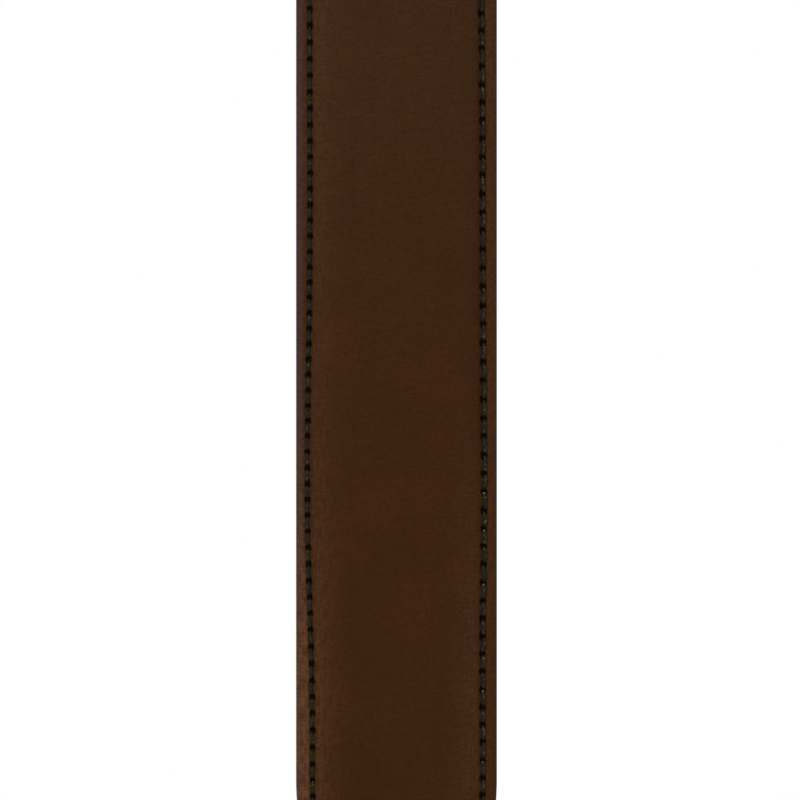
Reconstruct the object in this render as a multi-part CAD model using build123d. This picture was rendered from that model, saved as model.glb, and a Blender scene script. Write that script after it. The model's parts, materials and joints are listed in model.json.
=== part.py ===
from build123d import *
import math
import os

# A saxophone neck strap, hanging open from the neck of the player.
# +Z is up, X runs across the band, and -Y is the front leg.
# The origin is on the lining at the top of the arch, where the strap rests on the neck.
# "Station" is a distance down a leg from where it leaves the arch.
# "Height" is a distance out from the lining's inner face, square to the leg.

# ---- neck band ----
NECK_R = 60.0             # inner radius of the arch
FULL_WIDTH_RUN = 152.0    # leg of full width, below the arch
TAPER_RUN = 43.0          # leg that narrows to the nose
NOSE_RUN = 10.0           # parallel nose below the taper
BARE_WEB_RUN = 20.0       # webbing from the nose to the ring's bar
BAND_WIDTH = 38.1
NOSE_WIDTH = 24.0
NOSE_CORNER_R = 3.5
LEATHER_T = 1.1
LINING_T = 0.9
LINING_SETBACK = 0.7      # lining's edge, in from the band's edge
PAD_CENTRE = 1.85         # foam height at the middle of the band
PAD_SHOULDER = 1.5        # foam height at its shoulders
SHOULDER_INSET = 8.0      # shoulder's distance from the band's edge
MARGIN_INSET = 3.2        # where the flat margin ends and the padding rises
PAD_LEAST = 0.06          # share of the padding's rise that is left at the nose
SHOULDER_ROUND = 0.42     # how far the shoulder stands out from a straight line
TAPER_STEPS = 8

# ---- seams ----
SEAM_INSET = 2.6          # stitch line from the band's edge
THREAD_W = 0.6
THREAD_H = 0.35

# ---- webbing ----
WEB_WIDTH = 16.0
WEB_T = 1.1
LIP_GAP = 0.3             # from the webbing's edge to the turned-in leather

# ---- rivets ----
RIVET_R = 1.6
RIVET_HOLE_GAP = 0.1
RIVET_CAP_R = 4.0
RIVET_CAP_RIM = 0.35
RIVET_CAP_H = 1.3
RIVET_BACK_R = 3.5
RIVET_BACK_H = 0.8
RIVET_PITCH = 12.0
RIVET_END = 7.0           # lower rivet from the end of the nose
RIVET_SEAT_GAP = 0.03

# ---- ring, swivel eye and the webbing round their bars ----
WIRE_R = 1.7
BAR_GAP = 0.3             # webbing to bar
SIDE_GAP = 1.0            # webbing's edge to the side of a ring
WIRE_CORNER = 0.8         # inner corner radius of a ring
RING_PITCH = 12.0         # between the ring's two bars

# ---- adjustable drop ----
FOLD_RUN = 10.0           # from the bar to where the two plies meet
FOLD_BEND_R = 5.0
HEM_RUN = 14.0            # plies sewn together
PLY_GAP = 0.05            # between two plies that are sewn together
TACK_RUN = 1.8
TACK_INSET = 1.5
TACK_T = 0.3
ADJUST_TRAVEL = 36.0
STOP_GAP = 1.2            # left between moving pieces at their stops
TIP_RUN = 8.0             # metal tip on the webbing's end
TIP_WALL = 0.6
TIP_CORNER = 0.4
SLIDER_UP = 8.0
SLIDER_DOWN = 12.0
SLIDER_HEIGHT = 12.0
SLIDER_WIDTH = 24.0
SLIDER_DEPTH = 11.0
SLIDER_ROUND = 1.6
SLOT_GAP = 0.3            # webbing to slider, all round
RIB_COUNT = 3
RIB_DEPTH = 0.5
RIB_WIDTH = 1.0
RIB_INSET = 3.2           # rib's end from the slider's side
RIB_PITCH = 2.6

# ---- swivel ----
BOSS_R = 4.5
BOSS_H = 6.0
EYE_PITCH = 11.0          # eye's bar to the middle of its boss
POST_R = 2.05
POST_GAP = 0.05
HEAD_R = 3.6
HEAD_RIM = 0.7
HEAD_H = 1.7
END_GAP = 0.1             # axial play of the swivel
POST_DEPTH = 5.0          # how far the post goes into the hook's collar

# ---- snap hook ----
COLLAR_R = 4.5
COLLAR_H = 3.5
COLLAR_TAPER = 2.5
HOOK_T = 4.8
BOWL_R = 6.5              # inside radius of the bowl
HOOK_W = 4.0              # width of the hook's arm
THROAT_H = 16.2           # bowl's centre to the roof of the throat
THROAT_CORNER = 4.5
SPINE_TOP = 3.0           # where the spine starts to curve, below the throat's roof
NECK_W = 3.6              # half width of the hook under its collar
BACK_OUT = 0.75           # middle of the back's curve: share of the way out to the spine
BACK_UP = 0.65            # and share of the way up to the collar
CHEEK_FLANK = 0.6         # where the cheek's sides meet the pivot boss, in boss radii
TIP_H = 3.0               # straight part of the hook's tip
HOOK_EDGE = 1.0

# ---- gate ----
PIVOT_RISE = 3.8          # pivot above the throat's roof
PIVOT_BOSS_R = 3.6
PIN_R = 1.0
PIN_GAP = 0.05
PIN_PROUD = 0.3
GATE_TANG_R = 2.2
GATE_TANG_T = 2.2
GATE_W = 3.2
GATE_T = 3.8
GATE_WIDE_FROM = 6.0      # from the pivot to where the gate thickens
GATE_GAP = 0.3            # gate's end to the hook's tip
GATE_END_R = 0.8
GATE_NUB_R = 1.5
GATE_NUB_DROP = 10.5      # thumb nub below the pivot
CHEEK_GAP = 0.2           # tang to each cheek
TANG_ROOM = 1.2           # tang to the slot's roof
SLOT_ROOF = 1.6           # bridge left over the gate's slot
SLOT_BACK = 3.1           # from the gate's inner face to the slot's back wall
SPRING_R = 0.7            # coil radius of the gate spring
SPRING_WIRE_R = 0.2
SPRING_TURNS = 5
SPRING_DROP = 2.4         # spring below the pivot
SPRING_SEAT_GAP = 0.02

# ---- worked out from the sizes above ----
HALF = BAND_WIDTH / 2
NOSE_HALF = NOSE_WIDTH / 2
LIP_X = WEB_WIDTH / 2 + LIP_GAP
WEB_TOP = LINING_T + WEB_T
MARGIN_TOP = WEB_TOP + LEATHER_T
TAPER_END = FULL_WIDTH_RUN + TAPER_RUN
NOSE_END = TAPER_END + NOSE_RUN
LEG_LENGTH = NOSE_END + BARE_WEB_RUN
RIVET_STATIONS = [NOSE_END - RIVET_END, NOSE_END - RIVET_END - RIVET_PITCH]
BEND_R = WIRE_R + BAR_GAP                 # inside of the webbing round a bar
PLY_Y = BEND_R + WEB_T / 2                # middle of a ply that hangs beside a bar
RING_INNER = WEB_WIDTH + 2 * SIDE_GAP

# The leg's inner face is the common tangent of the arch and of the circle that the
# lining's face would follow round the ring's bar.
BAR_R = BEND_R - LINING_T
BAR_DROP = math.hypot(LEG_LENGTH, NECK_R - BAR_R)
LEAN = math.asin((NECK_R - BAR_R) / BAR_DROP)
ARCH_Z = -NECK_R
RING_Z = ARCH_Z - BAR_DROP
ANCHOR_Z = RING_Z - RING_PITCH
OUTWARD = (-math.cos(LEAN), -math.sin(LEAN))
DOWNWARD = (math.sin(LEAN), -math.cos(LEAN))

HEM_Z = ANCHOR_Z - FOLD_RUN - HEM_RUN
TAIL_TOP_Z = ANCHOR_Z - FOLD_RUN - STOP_GAP - ADJUST_TRAVEL
SLIDER_Z = TAIL_TOP_Z - TIP_RUN - STOP_GAP - SLIDER_UP - SLIDER_HEIGHT / 2
EYE_Z = SLIDER_Z - SLIDER_HEIGHT / 2 - SLIDER_DOWN - STOP_GAP - WIRE_R - ADJUST_TRAVEL
BOSS_Z = EYE_Z - EYE_PITCH
COLLAR_Z = BOSS_Z - BOSS_H / 2 - END_GAP
PIVOT_H = THROAT_H + PIVOT_RISE           # above the bowl's centre
SLOT_TOP = PIVOT_H + GATE_TANG_R + TANG_ROOM
HOOK_TOP = SLOT_TOP + SLOT_ROOF
BOWL_Z = COLLAR_Z - COLLAR_H - COLLAR_TAPER - HOOK_TOP
ARM_X = BOWL_R + HOOK_W / 2
PIVOT_Z = BOWL_Z + PIVOT_H


# ---- places ----
def leg_point(station, height=0.0):
    """Y and Z of a point on the front leg."""
    y = OUTWARD[0] * (NECK_R + height) + DOWNWARD[0] * station
    z = ARCH_Z + OUTWARD[1] * (NECK_R + height) + DOWNWARD[1] * station
    return y, z


def leg_plane(station):
    """Plane square to the front leg: local x across the band, local y outward."""
    y, z = leg_point(station)
    return Plane(origin=(0, y, z), x_dir=(1, 0, 0), z_dir=(0, DOWNWARD[0], DOWNWARD[1]))


def rivet_plane(station, height):
    """Plane on the front leg whose local z points outward."""
    y, z = leg_point(station, height)
    return Plane(origin=(0, y, z), x_dir=(1, 0, 0), z_dir=(0, OUTWARD[0], OUTWARD[1]))


def both_legs(solid):
    """The front leg's piece and its mirror image on the back leg."""
    return [solid, solid.mirror(Plane.XZ)]


def write(name, *solids):
    """One STEP file for each node."""
    parts = []
    for solid in solids:
        parts.extend(solid.solids())
    shape = parts[0] if len(parts) == 1 else Compound(children=parts)
    export_step(shape, f"parts/{name}.step")


# ---- how the band narrows ----
def ease(share):
    """0 to 1 with a level start and end."""
    share = min(max(share, 0.0), 1.0)
    return (1 - math.cos(math.pi * share)) / 2


def half_width(station):
    return HALF - (HALF - NOSE_HALF) * ease((station - FULL_WIDTH_RUN) / TAPER_RUN)


def padding(station):
    """Share of the padding's full rise: it thins out over the first half of the taper."""
    return 1 - (1 - PAD_LEAST) * ease((station - FULL_WIDTH_RUN) / (TAPER_RUN / 2))


def taper_stations():
    return [FULL_WIDTH_RUN + TAPER_RUN * i / TAPER_STEPS for i in range(TAPER_STEPS + 1)]


def band_layer(section, end=NOSE_END):
    """A layer of the band, from section(station), over the arch and down both legs."""
    full = section(0.0)
    leg = extrude(leg_plane(0) * full, FULL_WIDTH_RUN, dir=(0, *DOWNWARD))
    sections = [leg_plane(s) * section(s) for s in taper_stations()]
    front = leg + loft(sections, ruled=True)
    if end > TAPER_END:
        front += extrude(sections[-1], end - TAPER_END, dir=(0, *DOWNWARD))
    arch_axis = Axis((0, 0, ARCH_Z), (-1, 0, 0))
    arch = revolve(leg_plane(0) * full, arch_axis, 180 + 2 * math.degrees(LEAN))
    return front + arch + front.mirror(Plane.XZ)


def nose_cutter():
    """Rounds both corners of the nose, on both legs."""
    reach = MARGIN_TOP + PAD_CENTRE
    corner = Rectangle(NOSE_CORNER_R, NOSE_CORNER_R, align=(Align.MAX, Align.MAX))
    round_part = Pos(-NOSE_CORNER_R, -NOSE_CORNER_R) * Circle(NOSE_CORNER_R)
    waste = Pos(NOSE_HALF, 0) * (corner - round_part)
    waste = waste + waste.mirror(Plane.YZ)
    y, z = leg_point(NOSE_END, -reach)
    plane = Plane(origin=(0, y, z), x_dir=(-1, 0, 0), z_dir=(0, *OUTWARD))
    return both_legs(extrude(plane * waste, 2 * reach + MARGIN_TOP))


# ---- sections of the band: local x across, local y outward ----
def mirrored(points):
    return [(-x, y) for x, y in reversed(points)]


def top_leather_section(station):
    """Crowned leather with its edges turned under beside the webbing."""
    half = half_width(station)
    rise = padding(station)
    edge_r = (MARGIN_TOP - LINING_T) / 2
    edge_y = LINING_T + edge_r
    outer_crown = (0, MARGIN_TOP + PAD_CENTRE * rise)
    outer_shoulder = (half - SHOULDER_INSET, MARGIN_TOP + PAD_SHOULDER * rise)
    outer_foot = (half - MARGIN_INSET, MARGIN_TOP)
    edge_top = (half - edge_r, MARGIN_TOP)
    edge_side = (half, edge_y)
    edge_foot = (half - edge_r, LINING_T)
    lip_foot = (LIP_X, LINING_T)
    lip_top = (LIP_X, WEB_TOP)
    inner_foot, inner_shoulder, inner_crown = pad_points(station)
    outer_mid = shoulder_middle(outer_shoulder, outer_foot, rise)
    inner_mid = shoulder_middle(inner_shoulder, inner_foot, rise)

    def side(mirror):
        def at(point):
            return (-point[0], point[1]) if mirror else point

        return [
            ThreePointArc(at(outer_shoulder), at(outer_mid), at(outer_foot)),
            Line(at(outer_foot), at(edge_top)),
            ThreePointArc(at(edge_top), at(edge_side), at(edge_foot)),
            Line(at(edge_foot), at(lip_foot)),
            Line(at(lip_foot), at(lip_top)),
            Line(at(lip_top), at(inner_foot)),
            ThreePointArc(at(inner_foot), at(inner_mid), at(inner_shoulder)),
        ]

    edges = [ThreePointArc((-outer_shoulder[0], outer_shoulder[1]), outer_crown, outer_shoulder)]
    edges += side(False)
    edges += [ThreePointArc(inner_shoulder, inner_crown, (-inner_shoulder[0], inner_shoulder[1]))]
    edges += side(True)
    return make_face(edges)


def pad_points(station):
    """Foot, shoulder and crown of the foam, on the right half."""
    half = half_width(station)
    rise = padding(station)
    foot = (half - MARGIN_INSET + THREAD_W / 2, WEB_TOP)
    shoulder = (half - SHOULDER_INSET, WEB_TOP + PAD_SHOULDER * rise)
    crown = (0, WEB_TOP + PAD_CENTRE * rise)
    return foot, shoulder, crown


def shoulder_middle(shoulder, foot, rise):
    x = (shoulder[0] + foot[0]) / 2
    y = (shoulder[1] + foot[1]) / 2
    return x, y + SHOULDER_ROUND * rise


def foam_section(station):
    """The foam fills what the leather leaves over the webbing and the turned edges."""
    foot, shoulder, crown = pad_points(station)
    middle = shoulder_middle(shoulder, foot, padding(station))
    left_foot, left_middle, left_shoulder = mirrored([shoulder, middle, foot])
    return make_face(
        [
            Line(left_foot, foot),
            ThreePointArc(foot, middle, shoulder),
            ThreePointArc(shoulder, crown, left_shoulder),
            ThreePointArc(left_shoulder, left_middle, left_foot),
        ]
    )


def lining_section(station):
    width = 2 * (half_width(station) - LINING_SETBACK)
    return Rectangle(width, LINING_T, align=(Align.CENTER, Align.MIN))


def seam_section(side, base, thickness):
    """Section of one row of thread that lies on the height called base."""

    def section(station):
        x = side * (half_width(station) - SEAM_INSET)
        return Pos(x, base) * Rectangle(THREAD_W, thickness, align=(Align.CENTER, Align.MIN))

    return section


# ---- pieces of the band ----
def core_webbing():
    """One closed loop of webbing, over the arch and round the ring's upper bar."""
    inner = belt_outline(LINING_T)
    outer = belt_outline(WEB_TOP)
    return extrude(Plane.YZ * (outer - inner), WEB_WIDTH / 2, both=True)


def belt_outline(height):
    """Belt line round the arch and the ring's bar, at a height above the lining's face."""
    arch_r = NECK_R + height
    bar_r = BAR_R + height
    front_top = (OUTWARD[0] * arch_r, ARCH_Z + OUTWARD[1] * arch_r)
    front_foot = (OUTWARD[0] * bar_r, RING_Z + OUTWARD[1] * bar_r)
    back_top = (-front_top[0], front_top[1])
    back_foot = (-front_foot[0], front_foot[1])
    return make_face(
        [
            ThreePointArc(front_top, (0, ARCH_Z + arch_r), back_top),
            Line(back_top, back_foot),
            ThreePointArc(back_foot, (0, RING_Z - bar_r), front_foot),
            Line(front_foot, front_top),
        ]
    )


def button(radius, rim, height):
    """A low domed cap whose flat seat is at local z = 0."""
    profile = make_face(
        [
            Line((0, 0), (radius, 0)),
            Line((radius, 0), (radius, rim)),
            RadiusArc((radius, rim), (0, height), -dome_radius(radius, height - rim)),
            Line((0, height), (0, 0)),
        ]
    )
    return revolve(Plane.XZ * profile, Axis.Z)


def dome_radius(radius, height):
    return (radius**2 + height**2) / (2 * height)


def rivet_seat():
    """Height of the leather's face at the middle of the nose."""
    return MARGIN_TOP + PAD_CENTRE * PAD_LEAST + RIVET_SEAT_GAP


def rivets():
    """Caps, posts and backs of the rivets, each as a list over both legs."""
    caps = []
    posts = []
    backs = []
    for station in RIVET_STATIONS:
        cap = rivet_plane(station, rivet_seat()) * button(RIVET_CAP_R, RIVET_CAP_RIM, RIVET_CAP_H)
        post = rivet_plane(station, 0) * Cylinder(
            RIVET_R, rivet_seat(), align=(Align.CENTER, Align.CENTER, Align.MIN)
        )
        back = rivet_plane(station, -RIVET_BACK_H) * Cylinder(
            RIVET_BACK_R, RIVET_BACK_H, align=(Align.CENTER, Align.CENTER, Align.MIN)
        )
        caps += both_legs(cap)
        posts += both_legs(post)
        backs += both_legs(back)
    return caps, posts, backs


def rivet_holes():
    holes = []
    for station in RIVET_STATIONS:
        hole = rivet_plane(station, MARGIN_TOP / 2) * Cylinder(
            RIVET_R + RIVET_HOLE_GAP, 2 * MARGIN_TOP + 2 * PAD_CENTRE
        )
        holes += both_legs(hole)
    return holes


# ---- ring and swivel eye ----
def wire_loop(inner_width, pitch):
    """A closed loop of round wire whose upper bar lies on the X axis."""
    width = inner_width + 2 * WIRE_R
    corner = WIRE_CORNER + WIRE_R
    path = Plane.XZ * Pos(0, -pitch / 2) * RectangleRounded(width, pitch, corner)
    path = path.face().outer_wire()
    start = Plane(origin=path @ 0, z_dir=path % 0)
    return sweep(start * Circle(WIRE_R), path=path)


def square_ring():
    return Pos(0, 0, RING_Z) * wire_loop(RING_INNER, RING_PITCH)


def swivel_eye():
    """A bail with a bored boss in its lower bar."""
    bail = Pos(0, 0, EYE_Z) * wire_loop(RING_INNER, EYE_PITCH)
    boss = Pos(0, 0, BOSS_Z) * Cylinder(BOSS_R, BOSS_H)
    bore = Pos(0, 0, BOSS_Z) * Cylinder(POST_R + POST_GAP, 2 * BOSS_H)
    return bail + boss - bore


def swivel_rivet():
    """The post that the hook hangs on, with its head over the eye's boss."""
    head_z = BOSS_Z + BOSS_H / 2 + END_GAP
    length = head_z - COLLAR_Z + POST_DEPTH
    post = Pos(0, 0, head_z) * Cylinder(
        POST_R, length, align=(Align.CENTER, Align.CENTER, Align.MAX)
    )
    return post + Pos(0, 0, head_z) * button(HEAD_R, HEAD_RIM, HEAD_H)


# ---- adjustable drop ----
def ribbon(edges):
    """Webbing whose middle line is drawn in local Y and Z; it starts going up or down."""
    path = Wire([edge.edge() for edge in edges])
    path = Plane.YZ * path
    start = Plane(origin=path @ 0, x_dir=(1, 0, 0), z_dir=path % 0)
    return sweep(start * Rectangle(WEB_WIDTH, WEB_T), path=path)


def anchor_fold():
    """The webbing's upper end: over the ring's lower bar, then back onto itself and sewn."""
    sewn_y = -PLY_Y + WEB_T + PLY_GAP
    meet = (sewn_y, ANCHOR_Z - FOLD_RUN)
    span = math.hypot(meet[0], FOLD_RUN)
    turn = math.atan2(-FOLD_RUN, meet[0]) + math.acos(PLY_Y / span)
    leave = (PLY_Y * math.cos(turn), ANCHOR_Z + PLY_Y * math.sin(turn))
    over = Line((-PLY_Y, HEM_Z), (-PLY_Y, ANCHOR_Z))
    wrap = ThreePointArc((-PLY_Y, ANCHOR_Z), (0, ANCHOR_Z + PLY_Y), leave)
    back = FilletPolyline(leave, meet, (sewn_y, HEM_Z), radius=FOLD_BEND_R)
    return ribbon([over, wrap] + list(back.edges()))


def web_run(y, top, bottom):
    """A straight ply of webbing between two heights."""
    middle = (top + bottom) / 2
    return Pos(0, y, middle) * Box(WEB_WIDTH, WEB_T, top - bottom)


def standing_leg():
    return web_run(-PLY_Y, HEM_Z, EYE_Z)


def tail_leg():
    """Round the eye's bar, up through the slider and on to the metal tip."""
    under = ThreePointArc((-PLY_Y, EYE_Z), (0, EYE_Z - PLY_Y), (PLY_Y, EYE_Z))
    return ribbon([under, Line((PLY_Y, EYE_Z), (PLY_Y, TAIL_TOP_Z - TIP_WALL))])


def tail_tip():
    """A metal tip folded over the webbing's end."""
    width = WEB_WIDTH + 2 * TIP_WALL
    depth = WEB_T + 2 * TIP_WALL
    place = Pos(0, PLY_Y, TAIL_TOP_Z)
    align = (Align.CENTER, Align.CENTER, Align.MAX)
    shell = place * Box(width, depth, TIP_RUN, align=align)
    shell = fillet(shell.edges().filter_by(Axis.Z), TIP_CORNER)
    return shell - place * Pos(0, 0, -TIP_WALL) * Box(WEB_WIDTH, WEB_T, TIP_RUN, align=align)


def anchor_bartacks():
    """Two dense rows of stitching across the hem."""
    tacks = []
    for z in (HEM_Z + TACK_INSET, HEM_Z + HEM_RUN - TACK_INSET):
        y = -PLY_Y - WEB_T / 2 - TACK_T / 2
        tacks.append(Pos(0, y, z) * Box(WEB_WIDTH - 2 * TACK_INSET, TACK_T, TACK_RUN))
    return tacks


def strap_slider():
    """A moulded block with one slot for each ply and finger ribs across its faces."""
    block = fillet(Box(SLIDER_WIDTH, SLIDER_DEPTH, SLIDER_HEIGHT).edges(), SLIDER_ROUND)
    for side in (-1, 1):
        slot = Box(WEB_WIDTH + 2 * SLOT_GAP, WEB_T + 2 * SLOT_GAP, 2 * SLIDER_HEIGHT)
        block -= Pos(0, side * PLY_Y, 0) * slot
        for i in range(RIB_COUNT):
            z = (i - (RIB_COUNT - 1) / 2) * RIB_PITCH
            groove = Box(SLIDER_WIDTH - 2 * RIB_INSET, 2 * RIB_DEPTH, RIB_WIDTH)
            block -= Pos(0, side * SLIDER_DEPTH / 2, z) * groove
    return Pos(0, 0, SLIDER_Z) * block


# ---- snap hook, drawn in local X and Z with the bowl's centre at 0, 0 ----
def hook_outline():
    outer = BOWL_R + HOOK_W
    tip_r = HOOK_W / 2
    spine_z = THROAT_H - SPINE_TOP
    curve_x = -NECK_W - (outer - NECK_W) * BACK_OUT
    curve_z = spine_z + (HOOK_TOP - spine_z) * BACK_UP
    roof_mid = THROAT_CORNER * (1 - math.cos(math.pi / 4))
    roof = (-BOWL_R + THROAT_CORNER, THROAT_H)
    wall = (-BOWL_R, THROAT_H - THROAT_CORNER)
    edges = [
        ThreePointArc((-NECK_W, HOOK_TOP), (curve_x, curve_z), (-outer, spine_z)),
        Line((-outer, spine_z), (-outer, 0)),
        ThreePointArc((-outer, 0), (0, -outer), (outer, 0)),
        Line((outer, 0), (outer, TIP_H)),
        ThreePointArc((outer, TIP_H), (ARM_X, TIP_H + tip_r), (BOWL_R, TIP_H)),
        Line((BOWL_R, TIP_H), (BOWL_R, 0)),
        ThreePointArc((BOWL_R, 0), (0, -BOWL_R), (-BOWL_R, 0)),
        Line((-BOWL_R, 0), wall),
        ThreePointArc(wall, (-BOWL_R + roof_mid, THROAT_H - roof_mid), roof),
        Line(roof, (ARM_X, THROAT_H)),
        Line((ARM_X, THROAT_H), (ARM_X + PIVOT_BOSS_R * CHEEK_FLANK, PIVOT_H)),
        Line((ARM_X + PIVOT_BOSS_R * CHEEK_FLANK, PIVOT_H), (NECK_W, HOOK_TOP)),
        Line((NECK_W, HOOK_TOP), (-NECK_W, HOOK_TOP)),
    ]
    return make_face(edges) + Pos(ARM_X, PIVOT_H) * Circle(PIVOT_BOSS_R)


def collar():
    """Turned collar on the hook's top, with the blind hole for the swivel's post."""
    foot = min(NECK_W, HOOK_T / 2)
    profile = make_face(
        Polyline(
            (0, HOOK_TOP - COLLAR_TAPER),
            (foot, HOOK_TOP - COLLAR_TAPER),
            (COLLAR_R, HOOK_TOP + COLLAR_TAPER),
            (COLLAR_R, HOOK_TOP + COLLAR_TAPER + COLLAR_H),
            (0, HOOK_TOP + COLLAR_TAPER + COLLAR_H),
            close=True,
        )
    )
    return revolve(Plane.XZ * profile, Axis.Z)


def hook_body():
    plate = extrude(Plane.XZ * hook_outline(), HOOK_T / 2, both=True)
    rims = plate.faces().filter_by(Axis.Y).edges()
    body = fillet(rims, HOOK_EDGE) + collar()
    slot_left = BOWL_R + (HOOK_W - GATE_W) / 2 - SLOT_BACK
    slot_right = ARM_X + 2 * PIVOT_BOSS_R
    slot_low = THROAT_H - GATE_TANG_R
    slot = Pos((slot_left + slot_right) / 2, 0, (slot_low + SLOT_TOP) / 2) * Box(
        slot_right - slot_left, GATE_TANG_T + 2 * CHEEK_GAP, SLOT_TOP - slot_low
    )
    pin_hole = Pos(ARM_X, 0, PIVOT_H) * Rot(90, 0, 0) * Cylinder(PIN_R, 2 * HOOK_T)
    top = HOOK_TOP + COLLAR_TAPER + COLLAR_H
    post_hole = Pos(0, 0, top) * Cylinder(
        POST_R, POST_DEPTH, align=(Align.CENTER, Align.CENTER, Align.MAX)
    )
    return Pos(0, 0, BOWL_Z) * (body - slot - pin_hole - post_hole)


def gate_pin():
    pin = Rot(90, 0, 0) * Cylinder(PIN_R, HOOK_T + 2 * PIN_PROUD)
    pin = fillet(pin.edges(), PIN_PROUD)
    return Pos(ARM_X, 0, PIVOT_Z) * pin


def gate_lever():
    """The gate: a thin tang on the pin, and a thicker arm that closes onto the tip."""
    length = PIVOT_H - (TIP_H + HOOK_W / 2 + GATE_GAP)
    align = (Align.CENTER, Align.MAX)
    strip = fillet(Rectangle(GATE_W, length, align=align).vertices().group_by(Axis.Y)[0], GATE_END_R)
    thin = extrude(Plane.XZ * (strip + Circle(GATE_TANG_R)), GATE_TANG_T / 2, both=True)
    wide_length = length - GATE_WIDE_FROM
    wide = Pos(0, -GATE_WIDE_FROM) * Rectangle(GATE_W, wide_length, align=align)
    wide = fillet(wide.vertices().group_by(Axis.Y)[0], GATE_END_R)
    nub = Pos(GATE_W / 2, -GATE_NUB_DROP) * Circle(GATE_NUB_R)
    wide = extrude(Plane.XZ * (wide + nub), GATE_T / 2, both=True)
    hole = Rot(90, 0, 0) * Cylinder(PIN_R + PIN_GAP, 2 * GATE_T)
    return Pos(ARM_X, 0, PIVOT_Z) * (thin + wide - hole)


def gate_spring():
    """A small coil between the slot's back wall and the gate, below the pivot."""
    start = ARM_X - GATE_W / 2 - SLOT_BACK + SPRING_WIRE_R + SPRING_SEAT_GAP
    length = SLOT_BACK - 2 * (SPRING_WIRE_R + SPRING_SEAT_GAP)
    path = Helix(length / SPRING_TURNS, length, SPRING_R)
    section = Plane(origin=path @ 0, z_dir=path % 0) * Circle(SPRING_WIRE_R)
    coil = sweep(section, path=path, is_frenet=True)
    return Pos(start, 0, PIVOT_Z - SPRING_DROP) * Rot(0, 90, 0) * coil


# ---- write every piece ----
os.makedirs("parts", exist_ok=True)

holes = rivet_holes()
corners = nose_cutter()
seam_end = NOSE_END - SEAM_INSET
caps, posts, backs = rivets()

write("top_leather", band_layer(top_leather_section) - holes - corners)
write("foam_pad", band_layer(foam_section, TAPER_END) - holes)
write("lining", band_layer(lining_section) - holes - corners)
write("core_webbing", core_webbing() - holes)
for side, name in ((-1, "left"), (1, "right")):
    outer_seam = seam_section(side, MARGIN_TOP, THREAD_H)
    write(f"seam_thread_{name}", band_layer(outer_seam, seam_end))
    inner_seam = seam_section(side, -THREAD_H, THREAD_H)
    write(f"bobbin_thread_{name}", band_layer(inner_seam, seam_end))
write("rivet_caps", *caps)
write("rivet_posts", *posts)
write("rivet_backs", *backs)

write("square_ring", square_ring())
write("anchor_fold", anchor_fold())
write("anchor_bartacks", *anchor_bartacks())
write("standing_leg", standing_leg())
write("strap_slider", strap_slider())
write("tail_leg", tail_leg())
write("tail_tip", tail_tip())
write("swivel_eye", swivel_eye())
write("swivel_rivet", swivel_rivet())
write("hook_body", hook_body())
write("gate_pin", gate_pin())
write("gate_lever", gate_lever())
write("gate_spring", gate_spring())

print(f"lean {math.degrees(LEAN):.3f} deg, ring {RING_Z:.3f}, anchor {ANCHOR_Z:.3f}, hem {HEM_Z:.3f}")
print(f"tail top {TAIL_TOP_Z:.3f}, slider {SLIDER_Z:.3f}, eye {EYE_Z:.3f}, boss {BOSS_Z:.3f}")
print(f"collar {COLLAR_Z:.3f}, bowl {BOWL_Z:.3f}, pivot {ARM_X:.3f} {PIVOT_Z:.3f}")
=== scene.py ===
# %% [markdown]
# # A saxophone neck strap in leather, webbing and nickel
# The strap hangs open, as if a player's neck held it up. A padded leather band makes the
# loop, a nickel ring joins its two ends, and an adjustable length of webbing carries a
# swivel hook for the instrument. The solids and their joints come from the engineering
# model. This file dresses them: it builds the leather, the seams and the webbing as fine
# meshes in the same places, and gives every piece a finish made of shader nodes.

# %% Load the engineering frame
import json
import math

import bmesh
import bpy
import numpy as np
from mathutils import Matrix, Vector


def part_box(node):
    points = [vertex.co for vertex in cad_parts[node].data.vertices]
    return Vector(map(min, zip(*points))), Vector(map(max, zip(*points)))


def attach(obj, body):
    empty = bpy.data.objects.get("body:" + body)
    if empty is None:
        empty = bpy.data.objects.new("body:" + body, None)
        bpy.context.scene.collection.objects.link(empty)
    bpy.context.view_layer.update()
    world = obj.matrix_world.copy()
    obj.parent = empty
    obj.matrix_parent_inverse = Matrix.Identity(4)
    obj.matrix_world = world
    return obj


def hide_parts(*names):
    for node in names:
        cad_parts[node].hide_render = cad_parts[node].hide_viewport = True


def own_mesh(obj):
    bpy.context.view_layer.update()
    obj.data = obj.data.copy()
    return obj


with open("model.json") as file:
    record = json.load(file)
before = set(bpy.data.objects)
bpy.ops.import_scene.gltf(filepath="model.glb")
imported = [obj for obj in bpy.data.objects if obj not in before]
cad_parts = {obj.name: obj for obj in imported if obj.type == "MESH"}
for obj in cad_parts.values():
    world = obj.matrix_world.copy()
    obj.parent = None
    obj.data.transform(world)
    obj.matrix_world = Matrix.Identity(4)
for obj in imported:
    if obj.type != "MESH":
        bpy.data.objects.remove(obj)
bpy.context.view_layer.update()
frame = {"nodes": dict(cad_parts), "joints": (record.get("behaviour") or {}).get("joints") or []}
MM = 0.001

# %% [markdown]
# ## Sizes read from the frame
# Nothing is measured twice. The corners of each solid and the places of the joints give
# the layer heights, the radius of the arch and the lean of the two legs, so the meshes
# below land on the solids by themselves. All lengths from here on are in millimetres.


# %% Read the driving sizes
def low(node):
    return [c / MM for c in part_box(node)[0]]


def high(node):
    return [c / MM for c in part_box(node)[1]]


def find_joint(name):
    return next(j for j in frame["joints"] if j["name"] == name)


def joint_z(name):
    return find_joint(name)["pos_m"][2] / MM


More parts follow.
